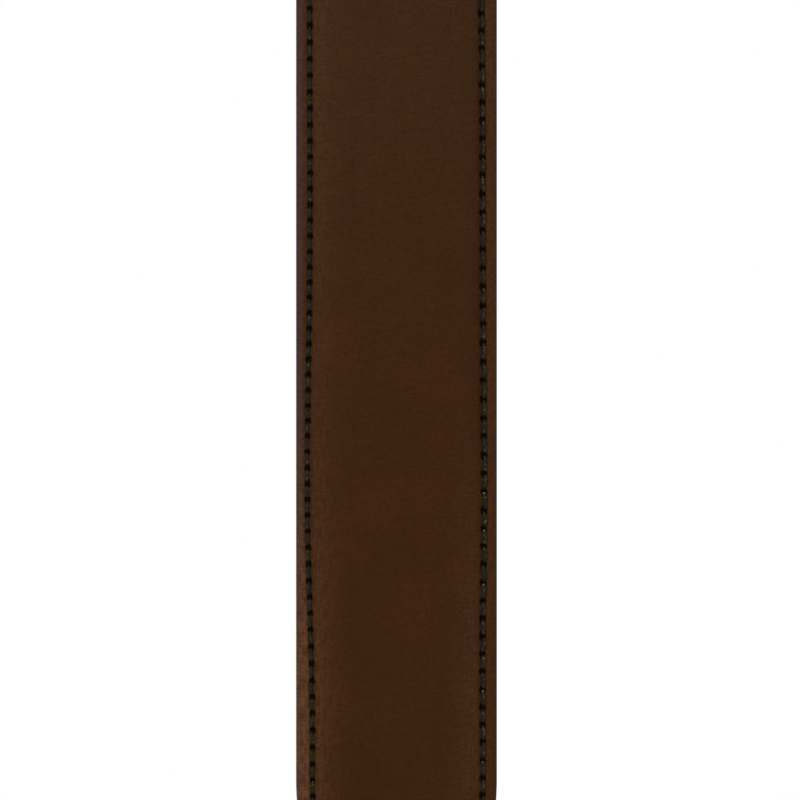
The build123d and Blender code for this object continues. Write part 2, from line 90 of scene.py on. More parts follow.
LINING_T = high("lining")[2]
WEB_TOP = high("core_webbing")[2]
CROWN_TOP = high("top_leather")[2]
WEB_T = WEB_TOP - LINING_T
WEB_HALF = high("core_webbing")[0]
HALF = high("top_leather")[0]
LEATHER_T = 1.1
MARGIN_TOP = WEB_TOP + LEATHER_T
NECK_R = high("core_webbing")[1] - WEB_TOP
RING_Z = joint_z("ring_swing")
ANCHOR_Z = joint_z("drop_swing")
EYE_Z = joint_z("eye_swing")
BAR_R = RING_Z - low("core_webbing")[2] - WEB_TOP
BAR_DROP = -RING_Z - NECK_R
LEAN = math.asin((NECK_R - BAR_R) / BAR_DROP)
LEG_LENGTH = math.sqrt(BAR_DROP**2 - (NECK_R - BAR_R) ** 2)
ARCH_HALF = NECK_R * (math.pi / 2 + LEAN)
print(f"neck radius {NECK_R:.2f}, lean {math.degrees(LEAN):.2f} degrees, leg {LEG_LENGTH:.1f}")

# %% [markdown]
# ## One coordinate system for the whole band
# A strap is easiest to model flat and then bent round its loop. `along` runs through the
# middle of the band: 0 at the top of the arch, positive down the front leg, negative
# down the back. `across` is the distance from the middle line and `height` the distance
# out from the lining's inner face. One function bends all three into space, so every
# layer, seam and rivet of the band uses the same map.

# %% Bend flat coordinates round the loop
FULL_WIDTH_RUN = 152.0
TAPER_RUN = 43.0
NOSE_RUN = 10.0
NOSE_HALF = 12.0
NOSE_CORNER_R = 3.5
PAD_LEAST = 0.06
NOSE_END = FULL_WIDTH_RUN + TAPER_RUN + NOSE_RUN
BAND_END = ARCH_HALF + NOSE_END


def bend(along, across, height):
    """Points in space for flat band coordinates; the arrays may have any one shape."""
    along, across, height = np.broadcast_arrays(along, across, height)
    on_arch = np.clip(along, -ARCH_HALF, ARCH_HALF)
    angle = on_arch / NECK_R
    down = along - on_arch
    y = -np.sin(angle) * (NECK_R + height) - np.cos(angle) * down
    z = -NECK_R + np.cos(angle) * (NECK_R + height) - np.sin(angle) * down
    return np.stack([across, y, z], axis=-1)


def station_of(along):
    """Distance down a leg from the end of the arch; negative on the arch."""
    return np.abs(along) - ARCH_HALF


def ease(share):
    return (1 - np.cos(np.pi * np.clip(share, 0, 1))) / 2


def half_width(station):
    """Half the band's width: full, then tapered to the nose, whose corners are rounded."""
    width = HALF - (HALF - NOSE_HALF) * ease((station - FULL_WIDTH_RUN) / TAPER_RUN)
    into = np.clip(station - (NOSE_END - NOSE_CORNER_R), 0, NOSE_CORNER_R)
    return width - NOSE_CORNER_R + np.sqrt(NOSE_CORNER_R**2 - into**2)


def padding(station):
    """Share of the foam's full thickness: it is skived thin before the nose."""
    return 1 - (1 - PAD_LEAST) * ease((station - FULL_WIDTH_RUN) / (TAPER_RUN / 2))


# %% [markdown]
# ## The two stitch lines
# A sewing machine never runs quite true. The left row is sewn with fine thread at just
# over 3 mm a stitch, the right row with thicker thread at about 3.5 mm. The feed slips a
# little and catches up again, so the pitch drifts, and both lines wander by a few tenths
# of a millimetre. The leather, the lining and the threads all ask these functions where
# the line lies and how many stitches have passed, so holes and stitches always meet.

# %% Define the seams
SEAMS = {
    "left": {"side": -1, "pitch": 3.033, "first": 5.71, "drift": 0.31, "wave": 132, "shift": 68},
    "right": {"side": 1, "pitch": 3.444, "first": 7.11, "drift": 0.22, "wave": 151, "shift": -8},
}
SEAM_INSET = 2.6
SEAM_END = BAND_END - SEAM_INSET
NOSE_ROW = NOSE_HALF - SEAM_INSET
NOSE_STITCHES = 6
STITCH_PITCH = {name: seam["pitch"] for name, seam in SEAMS.items()}
STITCH_PITCH["nose"] = 2 * NOSE_ROW / NOSE_STITCHES
THREAD_R = {"left": 0.22, "right": 0.32}
SPECK_SHARE = {"left": 0.05, "right": 0.2}
THREAD_BOW = {"left": 0.04, "right": 0.27}
GROOVE_DEPTH = 0.1
DIMPLE_DEPTH = 0.2


def bump(u):
    return np.exp(-u * u)


def seam_inset(name, along):
    """Distance of the stitch line from the band's edge."""
    s = station_of(along)
    fade = 1 - ease((s - 165) / 25)
    if name == "left":
        wander = 0.04 - 0.46 * bump((s - 92) / 24) + 0.5 * ease((s - 104) / 44)
    else:
        wander = 0.17 + 0.2 * bump((s - 6) / 14) - 0.32 * bump((s - 96) / 21)
    slow = 0.04 * np.sin(along / 17 + SEAMS[name]["side"]) + 0.03 * np.sin(along / 7.3)
    return SEAM_INSET + (wander * (along > 0) + slow) * fade


def seam_across(name, along):
    return SEAMS[name]["side"] * (half_width(station_of(along)) - seam_inset(name, along))


def turns(name, along):
    """Stitches sewn up to a place: a whole number at each needle hole."""
    seam = SEAMS[name]
    run = along - ARCH_HALF
    drift = seam["drift"] * np.sin(2 * np.pi * (run - seam["shift"]) / seam["wave"])
    jog = 0.03 * np.sin(2.4 * run) + 0.02 * np.sin(5.1 * run / seam["pitch"])
    return (run - seam["first"]) / seam["pitch"] + drift + jog


def from_hole(name, along):
    """Signed distance along the band to the nearest needle hole."""
    passed = turns(name, along)
    return (passed - np.round(passed)) * SEAMS[name]["pitch"]


# %% [markdown]
# ## Mesh helpers
# Most pieces here are lattices: rows of points that go along the strap, each row a
# closed outline. One helper joins the rows with quads and caps the ends. Extra numbers
# that the finishes need, such as the distance from a seam, are stored on the points as
# attributes, so a pattern follows the leather round its bends and never swims.


# %% Turn lattices into objects
def put(name, data):
    """A new object in the scene that shows a mesh, a lamp or a camera."""
    thing = bpy.data.objects.new(name, data)
    bpy.context.scene.collection.objects.link(thing)
    return thing


def put_piece(name, mesh, body):
    """A piece of the strap: it rides on a body; its mesh brings its material."""
    piece = put(name, mesh)
    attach(piece, body)
    return piece


def make_object(name, points, faces, body, material):
    mesh = bpy.data.meshes.new(name)
    mesh.from_pydata((np.asarray(points).reshape(-1, 3) * MM).tolist(), [], faces)
    mesh.polygons.foreach_set("use_smooth", [True] * len(mesh.polygons))
    mesh.materials.append(material)
    mesh.update()
    return put_piece(name, mesh, body)


def lattice_faces(rows, columns, start=0, loop=False):
    """Quads between closed rows of points, with a cap on each end or a join to the first row."""
    faces = []
    last = rows if loop else rows - 1
    for r in range(last):
        a = start + r * columns
        b = start + ((r + 1) % rows) * columns
        for c in range(columns):
            d = (c + 1) % columns
            faces.append((a + c, a + d, b + d, b + c))
    if not loop:
        faces.append(tuple(start + c for c in reversed(range(columns))))
        faces.append(tuple(start + (rows - 1) * columns + c for c in range(columns)))
    return faces


def store(piece, **values):
    """Write one number for each point under each name."""
    for name, numbers in values.items():
        data = piece.data.attributes.new(name, "FLOAT", "POINT").data
        data.foreach_set("value", np.asarray(numbers, dtype=np.float32).ravel())


def run_lengths(points):
    """Distance from the first point, measured through the points."""
    steps = np.linalg.norm(np.diff(points, axis=0), axis=1)
    return np.concatenate([[0.0], np.cumsum(steps)])


# %% [markdown]
# ## Node helpers
# Shader trees read better as formulas. `add` makes a node and fills its sockets, either
# with a plain value or with a link from another node, and `maths` is one arithmetic
# node. `stack` adds up layers of height and `tinted` lays colours over each other.
# `new_group` opens a group with named sockets, which several finishes then share.


# %% Build shader nodes
def add(tree, kind, inputs=None, **settings):
    node = tree.nodes.new(kind)
    for name, value in settings.items():
        setattr(node, name, value)
    for name, value in (inputs or {}).items():
        if isinstance(value, bpy.types.NodeSocket):
            tree.links.new(value, node.inputs[name])
        else:
            node.inputs[name].default_value = value
    return node


def maths(tree, operation, *values, clamp=False):
    inputs = {i: v for i, v in enumerate(values)}
    return add(tree, "ShaderNodeMath", inputs, operation=operation, use_clamp=clamp).outputs[0]


def remap(tree, value, low_in, high_in, low_out=0.0, high_out=1.0):
    inputs = {"Value": value, "From Min": low_in, "From Max": high_in}
    inputs.update({"To Min": low_out, "To Max": high_out})
    node = add(tree, "ShaderNodeMapRange", inputs, interpolation_type="SMOOTHSTEP")
    return node.outputs["Result"]


def times(tree, a, b, clamp=False):
    return maths(tree, "MULTIPLY", a, b, clamp=clamp)


def stack(tree, base, *layers):
    """A base with weighted values added one by one: each layer is a value and its weight."""
    for value, weight in layers:
        base = maths(tree, "MULTIPLY_ADD", value, weight, base)
    return base


def mix(tree, share, a, b):
    """All of a at a share of 0 and all of b at 1; sockets 6, 7 and 2 are the colours."""
    return add(tree, "ShaderNodeMix", {0: share, 6: a, 7: b}, data_type="RGBA").outputs[2]


def tinted(tree, body, *tints):
    """A colour with others laid over it in turn: each tint is a share and a colour."""
    for share, colour in tints:
        body = mix(tree, share, body, colour)
    return body


def noise(tree, vector, scale, detail=2.0, roughness=0.5):
    inputs = {"Vector": vector, "Scale": scale, "Detail": detail, "Roughness": roughness}
    return add(tree, "ShaderNodeTexNoise", inputs).outputs["Fac"]


def combine(tree, x, y):
    return add(tree, "ShaderNodeCombineXYZ", {"X": x, "Y": y}).outputs[0]


def stored(tree, name):
    return add(tree, "ShaderNodeAttribute", attribute_name=name).outputs["Fac"]


def bumped(tree, height, distance_mm):
    inputs = {"Height": height, "Distance": distance_mm * MM}
    return add(tree, "ShaderNodeBump", inputs).outputs["Normal"]


def new_group(name, inputs, outputs):
    """A shader node group: inputs are name and default value, outputs are names."""
    group = bpy.data.node_groups.new(name, "ShaderNodeTree")
    for label, value in inputs.items():
        socket = group.interface.new_socket(label, in_out="INPUT", socket_type="NodeSocketFloat")
        socket.default_value = value
    for label in outputs:
        group.interface.new_socket(label, in_out="OUTPUT", socket_type="NodeSocketFloat")
    entry = group.nodes.new("NodeGroupInput")
    leave = group.nodes.new("NodeGroupOutput")
    return group, entry.outputs, leave.inputs


def use_group(tree, group, inputs):
    return add(tree, "ShaderNodeGroup", inputs, node_tree=group).outputs


def new_finish(name, **plain):
    """A material with its Principled shader; plain values go straight on the shader."""
    material = bpy.data.materials.new(name)
    material.use_nodes = True
    shader = material.node_tree.nodes["Principled BSDF"]
    for label, value in plain.items():
        shader.inputs[label.replace("_", " ")].default_value = value
    return material, material.node_tree, shader


def dress_shader(tree, shader, color, roughness=None, normal=None):
    """Link a finish's nodes to its shader; what isn't given stays plain."""
    for label, value in (("Base Color", color), ("Roughness", roughness), ("Normal", normal)):
        if value is not None:
            tree.links.new(value, shader.inputs[label])


def rgb(red, green, blue):
    """A colour as a screen shows it, 0 to 255, turned into light values."""

    def linear(c):
        c /= 255
        return c / 12.92 if c <= 0.04045 else ((c + 0.055) / 1.055) ** 2.4

    return linear(red), linear(green), linear(blue), 1.0


# %% [markdown]
# ## Shared effect: hide grain
# Garment leather has a fine pebble, pores between the pebbles, and soft clouds of tone
# where the dye took more or less. Worley cells give the pebbles and noise the rest. The
# group takes flat coordinates in millimetres, so the pebble keeps its size on any piece.


# %% Group: hide grain
def make_hide_grain():
    inputs = {"Across": 0.0, "Along": 0.0, "Pebble": 0.5, "Stretch": 1.0}
    group, given, out = new_group("Hide grain", inputs, ["Height", "Cloud", "Pore"])
    run = times(group, given["Along"], given["Stretch"])
    place = combine(group, given["Across"], run)
    fine = maths(group, "DIVIDE", 1.0, given["Pebble"])
    warp = noise(group, place, times(group, fine, 0.6), 2.0)
    shifted = add(group, "ShaderNodeVectorMath", {0: place, 1: combine(group, warp, warp)})
    cells = add(group, "ShaderNodeTexVoronoi", {"Vector": shifted.outputs[0], "Scale": fine})
    dome = maths(group, "SUBTRACT", 1.0, cells.outputs["Distance"], clamp=True)
    rough = noise(group, place, times(group, fine, 2.2), 3.0, 0.6)
    height = maths(group, "MULTIPLY_ADD", rough, 0.35, times(group, dome, 0.65))
    cloud = noise(group, place, 0.075, 5.0, 0.55)
    group.links.new(height, out["Height"])
    group.links.new(cloud, out["Cloud"])
    group.links.new(remap(group, dome, 0.25, 0.5, 1.0, 0.0), out["Pore"])
    return group


hide_grain = make_hide_grain()

# %% [markdown]
# ## Shared effect: a sewn line
# Each needle hole is a small pit, painted dark as painted shade, the thread presses a groove
# between the holes, and the leather puckers in short creases that run away from them. A
# painted shade also darkens the leather within about a millimetre of the line. The line's
# distance comes in as a number from the mesh, so the group works on the leather and the lining.


# %% Group: sewn line
def make_sewn_line():
    inputs = {"Offset": 0.0, "Turns": 0.0, "Pitch": 3.0, "Hole": 0.42}
    group, given, out = new_group("Sewn line", inputs, ["Hole", "Press", "Pucker", "Shade"])
    nearest = maths(group, "SUBTRACT", given["Turns"], maths(group, "ROUND", given["Turns"]))
    run = times(group, nearest, given["Pitch"])
    ragged = times(group, given["Turns"], given["Pitch"])
    ragged = noise(group, combine(group, given["Offset"], ragged), 2.6, 2.0)
    oval = combine(group, given["Offset"], times(group, run, 0.8))
    reach = add(group, "ShaderNodeVectorMath", {0: oval}, operation="LENGTH").outputs["Value"]
    reach = maths(group, "MULTIPLY_ADD", ragged, 0.3, maths(group, "SUBTRACT", reach, 0.15))
    edge = times(group, given["Hole"], 1.3)
    core = times(group, given["Hole"], 0.72)
    hole = remap(group, reach, core, edge, 1.0, 0.0)
    side = maths(group, "ABSOLUTE", given["Offset"])
    groove = remap(group, side, 0.0, 0.55, 1.0, 0.0)
    dip = remap(group, reach, 0.0, 1.1, 1.0, 0.0)
    press = maths(group, "MULTIPLY_ADD", groove, 0.35, dip)
    fold = maths(group, "MULTIPLY_ADD", side, 0.22, given["Turns"])
    wave = maths(group, "COSINE", times(group, fold, 2 * math.pi))
    near = remap(group, side, 0.3, 2.6, 1.0, 0.0)
    pucker = times(group, times(group, wave, near), ragged)
    shade = remap(group, side, 0.15, 1.15, 1.0, 0.0)
    for label, value in (("Hole", hole), ("Press", press), ("Pucker", pucker), ("Shade", shade)):
        group.links.new(value, out[label])
    return group


sewn_line = make_sewn_line()

# %% [markdown]
# ## Shared effect: creases
# Leather that is turned over an edge or pulled by a seam folds into fine, roughly
# parallel creases. They are noise that is squeezed in one direction: the two stretch
# values choose which way the creases run and how long they are.


# %% Group: creases
def make_creases():
    inputs = {"Across": 0.0, "Along": 0.0, "Across stretch": 1.0, "Along stretch": 1.0, "Slant": 0.0}
    group, given, out = new_group("Creases", inputs, ["Height", "Line"])
    lean = maths(group, "MULTIPLY_ADD", given["Across"], given["Slant"], given["Along"])
    x = times(group, given["Across"], given["Across stretch"])
    y = times(group, lean, given["Along stretch"])
    soft = noise(group, combine(group, x, y), 1.0, 4.0, 0.6)
    ridge = maths(group, "ABSOLUTE", maths(group, "SUBTRACT", soft, 0.5))
    group.links.new(soft, out["Height"])
    group.links.new(remap(group, ridge, 0.0, 0.05, 1.0, 0.0), out["Line"])
    return group


creases = make_creases()

# %% [markdown]
# ## Shared effect: narrow weave
# Nylon webbing is warp-faced: fine ribs run along it, and each rib dips under the weft
# at a regular step, half a step later than its neighbour. That gives the small chevrons
# seen on strap webbing. The same group makes the twist of sewing thread, with other
# spacings.


# %% Group: narrow weave
def make_weave():
    inputs = {"Across": 0.0, "Along": 0.0, "Rib": 0.8, "Step": 1.2, "Slant": 0.5}
    group, given, out = new_group("Narrow weave", inputs, ["Height", "Shade"])
    ribs = maths(group, "DIVIDE", given["Across"], given["Rib"])
    column = maths(group, "FLOOR", ribs)
    in_rib = maths(group, "SUBTRACT", ribs, column)
    round_rib = maths(group, "SINE", times(group, in_rib, math.pi))
    slanted = maths(group, "MULTIPLY_ADD", in_rib, given["Slant"], times(group, column, 0.5))
    steps = maths(group, "ADD", maths(group, "DIVIDE", given["Along"], given["Step"]), slanted)
    wave = maths(group, "SINE", times(group, steps, 2 * math.pi))
    lift = maths(group, "MULTIPLY_ADD", wave, 0.35, 0.65)
    height = times(group, round_rib, lift)
    fibre_place = combine(group, times(group, given["Across"], 9.0), given["Along"])
    fibre = noise(group, fibre_place, 1.0, 3.0, 0.6)
    height = maths(group, "MULTIPLY_ADD", fibre, 0.2, height)
    group.links.new(height, out["Height"])
    group.links.new(remap(group, height, 0.1, 0.9, 0.45, 1.15), out["Shade"])
    return group


weave = make_weave()

# %% [markdown]
# ## Shared effect: handling wear
# Hardware that is handled picks up hairline scratches and thin smudges. Both finishes
# of hard pieces use them: on nickel they break up the mirror, on plastic they dull it.


# %% Group: handling wear
def make_handling():
    group, given, out = new_group("Handling wear", {"Size": 1.0}, ["Scratch", "Smudge"])
    place = add(group, "ShaderNodeTexCoord").outputs["Object"]
    scale = maths(group, "DIVIDE", 1.0, given["Size"])
    wide = add(group, "ShaderNodeVectorMath", {0: place, 1: (400.0, 400.0, 4000.0)}, operation="MULTIPLY")
    lines = noise(group, wide.outputs[0], times(group, scale, 1.4), 4.0, 0.75)
    cloud = noise(group, place, times(group, scale, 260.0), 4.0, 0.6)
    group.links.new(remap(group, lines, 0.6, 0.75), out["Scratch"])
    group.links.new(remap(group, cloud, 0.35, 0.75), out["Smudge"])
    return group


handling = make_handling()

# %% [markdown]
# ## Finish: brown leather
# Dark, matte garment leather. The base is a deep red-brown. Clouds of tone, pores and
# creases vary it. The turned edges, the shoulders, the puckers and the seam creases are
# painted a lighter brown as painted light, and a grey painted sheen lies over the top of
# the band and where its edges turn down. The fine crease lines, the leather beside each
# seam and the needle holes are darkened as painted shade. The highlight is kept low and
# broad.


# %% Brown leather
def seam_inputs(tree, name, hole):
    inputs = {"Offset": stored(tree, f"seam_{name}"), "Turns": stored(tree, f"turns_{name}")}
    inputs.update({"Pitch": STITCH_PITCH[name], "Hole": hole})
    return inputs


def sewn_lines(tree, hole_left, hole_right):
    """The two long seams and the short nose seam, joined: hole, press, pucker and shade."""
    left = use_group(tree, sewn_line, seam_inputs(tree, "left", hole_left))
    right = use_group(tree, sewn_line, seam_inputs(tree, "right", hole_right))
    nose = use_group(tree, sewn_line, seam_inputs(tree, "nose", hole_left))
    joined = []
    for part in ("Hole", "Press", "Pucker", "Shade"):
        both = maths(tree, "MAXIMUM", left[part], right[part])
        joined.append(maths(tree, "MAXIMUM", both, nose[part]))
    return joined


def make_brown_leather():
    material, tree, shader = new_finish("brown leather", Specular_IOR_Level=0.05)
    girth, along, rub = stored(tree, "girth"), stored(tree, "along"), stored(tree, "rub")
    haze = stored(tree, "haze")
    place = {"Across": girth, "Along": along}
    grain = use_group(tree, hide_grain, {**place, "Pebble": 0.42})
    hole, press, pucker, shade = sewn_lines(tree, 0.55, 0.62)
    cross = use_group(tree, creases, {**place, "Across stretch": 0.24, "Along stretch": 1.9})
    fine = use_group(tree, creases, {**place, "Across stretch": 0.4, "Along stretch": 3.0})
    length = use_group(
        tree,
        creases,
        {**place, "Across stretch": 1.5, "Along stretch": 0.34, "Slant": 0.7},
    )
    wrinkled = times(tree, length["Height"], rub)
    painted_edge_light = times(tree, rub, remap(tree, length["Height"], 0.38, 0.6, 0.25, 1.2))
    crease_and_highlight = times(tree, stored(tree, "pull"), remap(tree, fine["Height"], 0.4, 0.62))
    pucker_highlight = times(tree, times(tree, pucker, rub), 1.1, clamp=True)

    body = tinted(
        tree,
        mix(tree, grain["Cloud"], rgb(51, 27, 5), rgb(62, 34, 9)),
        # painted shade: the fine crease lines across the band are darkened
        (times(tree, cross["Line"], 0.32), rgb(36, 19, 4)),
        # painted light: the turned edges and shoulders are painted a lighter brown
        (painted_edge_light, rgb(98, 66, 42)),
        # painted sheen: a grey painted reflection over the top of the band and its turned edges
        (haze, rgb(64, 54, 56)),
        # painted highlight: the ridges of the seam creases are painted lighter
        (crease_and_highlight, rgb(104, 70, 50)),
        (times(tree, grain["Pore"], 0.32), rgb(34, 18, 5)),
        # painted highlight: the crests of the puckers are painted lighter
        (pucker_highlight, rgb(112, 78, 54)),
        # painted shade: the leather is darkened within about a millimetre of each seam
        (times(tree, shade, 0.42), rgb(34, 17, 6)),
        # painted shade: each needle hole is painted near black
        (hole, rgb(4, 4, 3)),
    )
    rough = stack(tree, remap(tree, grain["Height"], 0.2, 0.9, 0.64, 0.5), (hole, 0.3))
    height = stack(
        tree,
        times(tree, grain["Height"], 0.08),
        (cross["Height"], 0.14),
        (wrinkled, 0.42),
        (crease_and_highlight, 0.12),
        (pucker, 0.11),
        (press, -0.12),
        (hole, -0.5),
    )
    dress_shader(tree, shader, body, rough, bumped(tree, height, 1.0))
    return material


brown_leather = make_brown_leather()

# %% [markdown]
# ## Finish: suede lining
# The inside is split leather with its nap up: paler, quite without gloss, and blotched
# where the fibres lie in different directions. A little sheen gives the nap its bloom.


# %% Suede lining
def make_suede():
    material, tree, shader = new_finish("suede lining", Roughness=0.95, Specular_IOR_Level=0.1)
    shader.inputs["Sheen Weight"].default_value = 0.35
    shader.inputs["Sheen Roughness"].default_value = 0.5
    girth, along = stored(tree, "girth"), stored(tree, "along")
    grain = use_group(tree, hide_grain, {"Across": girth, "Along": along, "Pebble": 0.25})
    hole, press, _, _ = sewn_lines(tree, 0.38, 0.42)
    nap = noise(tree, combine(tree, girth, along), 0.16, 8.0, 0.72)
    brushed = use_group(
        tree,
        creases,
        {"Across": girth, "Along": along, "Across stretch": 0.5, "Along stretch": 2.6, "Slant": 0.3},
    )
    body = tinted(
        tree,
        mix(tree, remap(tree, nap, 0.34, 0.66), rgb(74, 50, 34), rgb(88, 61, 42)),
        (times(tree, brushed["Line"], 0.3), rgb(58, 38, 25)),
        (times(tree, grain["Pore"], 0.12), rgb(52, 33, 21)),
        # painted shade: each needle hole in the lining is painted near black
        (hole, rgb(12, 9, 7)),
    )
    height = times(tree, grain["Height"], 0.08)
    height = stack(tree, height, (brushed["Height"], 0.16), (nap, 0.12), (press, -0.15))
    dress_shader(tree, shader, body, None, bumped(tree, height, 1.0))
    return material


suede_lining = make_suede()

# %% [markdown]
# ## Finish: black webbing
# Black nylon is never quite black: each rib catches a thin grey light on its crown, and
# the gaps between ribs go to full black. Coordinates come from the ribbon itself, so
# the ribs bend with it round every bar.


# %% Black webbing
def make_webbing():
    material, tree, shader = new_finish("black webbing", Roughness=0.6, Specular_IOR_Level=0.2)
    shader.inputs["Sheen Weight"].default_value = 0.06
    ribs = {"Across": stored(tree, "across"), "Along": stored(tree, "along"), "Rib": 0.8, "Step": 1.5}
    cloth = use_group(tree, weave, ribs)
    body = mix(tree, cloth["Shade"], rgb(7, 7, 8), rgb(34, 34, 36))
    rough = remap(tree, cloth["Height"], 0.1, 1.0, 0.8, 0.5)
    dress_shader(tree, shader, body, rough, bumped(tree, cloth["Height"], 0.16))
    return material


black_webbing = make_webbing()

# %% [markdown]
# ## Finish: sewing thread
# Bonded thread, black with a green cast. The three plies of its twist are in the mesh,
# and a stored number says where a point lies between crown and valley, so the valleys
# are painted darker and the crowns a lighter green, as painted shade and highlight. Pale
# flecks sit here and there, a few stitches have a pale speck beside their hole, and a
# stitch is painted darker where it dives, as painted shade.


# %% Sewing thread
def make_thread():
    material, tree, shader = new_finish("sewing thread", Roughness=0.6, Specular_IOR_Level=0.12)
    along, around = stored(tree, "along"), stored(tree, "around")
    ply, out_of_shade = stored(tree, "ply"), stored(tree, "out_of_shade")
    fibres = {"Across": around, "Along": along, "Rib": 0.09, "Step": 0.5, "Slant": 1.0}
    fibre = use_group(tree, weave, fibres)
    pale_flecks = noise(tree, combine(tree, around, along), 2.3, 4.0, 0.8)
    body = tinted(
        tree,
        # painted shade and highlight: ply valleys are dark, crowns a lighter green
        mix(tree, remap(tree, ply, 0.35, 0.95), rgb(5, 6, 3), rgb(37, 41, 24)),
        (times(tree, fibre["Height"], 0.35), rgb(6, 7, 5)),
        # pale flecks laid on the thread here and there
        (remap(tree, pale_flecks, 0.52, 0.66, 0.0, 0.8), rgb(84, 88, 64)),
    )
    # painted shade: each stitch is darkened where it dives into its hole
    body = mix(tree, out_of_shade, rgb(4, 4, 3), body)
    # a pale speck beside the hole of a few stitches
    body = mix(tree, stored(tree, "pale_speck"), body, rgb(140, 134, 110))
    dress_shader(tree, shader, body, None, bumped(tree, fibre["Height"], 0.03))
    return material


sewing_thread = make_thread()

# %% [markdown]
# ## Finishes: nickel, spring steel, moulded plastic and foam
# Nickel plate is a warm, slightly soft mirror. Its tone and its roughness change a
# little with handling. The slider is satin acetal with a fine spark-eroded texture, and
# the spring is plain drawn steel. The foam hardly shows, but it has its cells all the
# same, for anyone who cuts the band open.


# %% Hard finishes and foam
def make_nickel():
    material, tree, shader = new_finish("nickel plate", Metallic=1.0)
    wear = use_group(tree, handling, {"Size": 1.0})
    body = mix(tree, wear["Smudge"], (0.56, 0.535, 0.49, 1), (0.47, 0.45, 0.415, 1))
    rough = stack(tree, 0.14, (wear["Smudge"], 0.12), (wear["Scratch"], 0.12))
    height = stack(tree, wear["Smudge"], (wear["Scratch"], -0.3))
    dress_shader(tree, shader, body, rough, bumped(tree, height, 0.012))
    return material


def make_steel():
    material, tree, shader = new_finish("spring steel", Metallic=1.0)
    wear = use_group(tree, handling, {"Size": 0.4})
    body = mix(tree, wear["Smudge"], (0.46, 0.46, 0.46, 1), (0.36, 0.355, 0.35, 1))
    dress_shader(tree, shader, body, stack(tree, 0.3, (wear["Scratch"], 0.2)))
    return material


def make_acetal():
    material, tree, shader = new_finish("black acetal", Specular_IOR_Level=0.45)
    wear = use_group(tree, handling, {"Size": 0.8})
    place = add(tree, "ShaderNodeTexCoord").outputs["Object"]
    spark = noise(tree, place, 5200.0, 3.0, 0.6)
    body = mix(tree, wear["Smudge"], rgb(21, 21, 22), rgb(30, 30, 31))
    body = mix(tree, times(tree, wear["Scratch"], 0.4), body, rgb(64, 64, 66))
    rough = remap(tree, spark, 0.3, 0.7, 0.36, 0.52)
    dress_shader(tree, shader, body, rough, bumped(tree, spark, 0.03))
    return material


def make_foam():
    material, tree, shader = new_finish("foam", Roughness=0.95)
    place = add(tree, "ShaderNodeTexCoord").outputs["Object"]
    cells = add(tree, "ShaderNodeTexVoronoi", {"Vector": place, "Scale": 2500.0}).outputs["Distance"]
    body = mix(tree, cells, rgb(60, 60, 60), rgb(110, 110, 108))
    dress_shader(tree, shader, body, None, bumped(tree, cells, 0.2))
    return material


nickel = make_nickel()
spring_steel = make_steel()
black_acetal = make_acetal()
foam = make_foam()

# %% [markdown]
# ## The leather of the band
# The leather is one skin, 1.1 mm thick, that rises over the foam in the middle, lies
# flat under the stitches, rolls round the edge and ends in a lip beside the webbing.
# The outline of a cross-section is worked out for every row at once, with more points
# at the seam and round the edge, where the shape turns quickly. Rows are half a
# millimetre apart on the front leg, which is seen close to, a quarter of a millimetre
# at the rounded noses, and wider elsewhere.

# %% Cross-section of the leather
SHOULDER_INSET = 8.0
MARGIN_INSET = 3.2
PAD_CENTRE = CROWN_TOP - MARGIN_TOP
PAD_SHOULDER = 1.5
EDGE_R = (MARGIN_TOP - LINING_T) / 2
EDGE_MID = LINING_T + EDGE_R
LIP_X = WEB_HALF + 0.3


def skin_right(station):
    """Across and height of the outer skin's right half, from the crown to the lip."""
    half = half_width(station)[:, None]
    rise = padding(station)[:, None]
    q = np.linspace(0, 1, 19)[None, :-1]
    crown_x = q * (half - SHOULDER_INSET)
    crown_h = MARGIN_TOP + rise * (PAD_CENTRE - (PAD_CENTRE - PAD_SHOULDER) * q**2)
    q = np.linspace(0, 1, 13)[None, :-1]
    slope_x = half - SHOULDER_INSET + q * (SHOULDER_INSET - MARGIN_INSET)
    slope_h = MARGIN_TOP + rise * PAD_SHOULDER * (1 - q**2.4)
    q = np.linspace(0, 1, 13)[None, :-1]
    flat_x = half - MARGIN_INSET + q * (MARGIN_INSET - EDGE_R)
    flat_h = MARGIN_TOP + 0 * flat_x
    turn = np.linspace(math.pi / 2, -math.pi / 2, 13)[None, :]
    edge_x = half - EDGE_R + EDGE_R * np.cos(turn)
    edge_h = EDGE_MID + EDGE_R * np.sin(turn) + 0 * edge_x
    lip_end = np.minimum(LIP_X, half - EDGE_R - 0.05)
    q = np.linspace(0, 1, 5)[None, 1:]
    lip_x = half - EDGE_R + q * (lip_end - half + EDGE_R)
    lip_h = LINING_T + 0 * lip_x
    across = np.hstack([crown_x, slope_x, flat_x, edge_x, lip_x])
    height = np.hstack([crown_h, slope_h, flat_h, edge_h, lip_h])
    return across, height


def skin_inside(station):
    """Across and height of the skin's inner face, right half, from the lip to the crown."""
    half = half_width(station)[:, None]
    rise = padding(station)[:, None]
    lip_end = np.minimum(LIP_X, half - EDGE_R - 0.05)
    foot = half - MARGIN_INSET + 0.3
    q = np.linspace(0, 1, 7)[None, :]
    slope_x = foot - q * (foot - half + SHOULDER_INSET)
    slope_h = WEB_TOP + rise * PAD_SHOULDER * (1 - (1 - q) ** 2.4)
    q = np.linspace(0, 1, 6)[None, 1:]
    crown_x = (half - SHOULDER_INSET) * (1 - q)
    crown_h = WEB_TOP + rise * (PAD_SHOULDER + (PAD_CENTRE - PAD_SHOULDER) * (1 - (1 - q) ** 2))
    across = np.hstack([lip_end, slope_x, crown_x])
    height = np.hstack([WEB_TOP + 0 * lip_end, slope_h, crown_h])
    return across, height


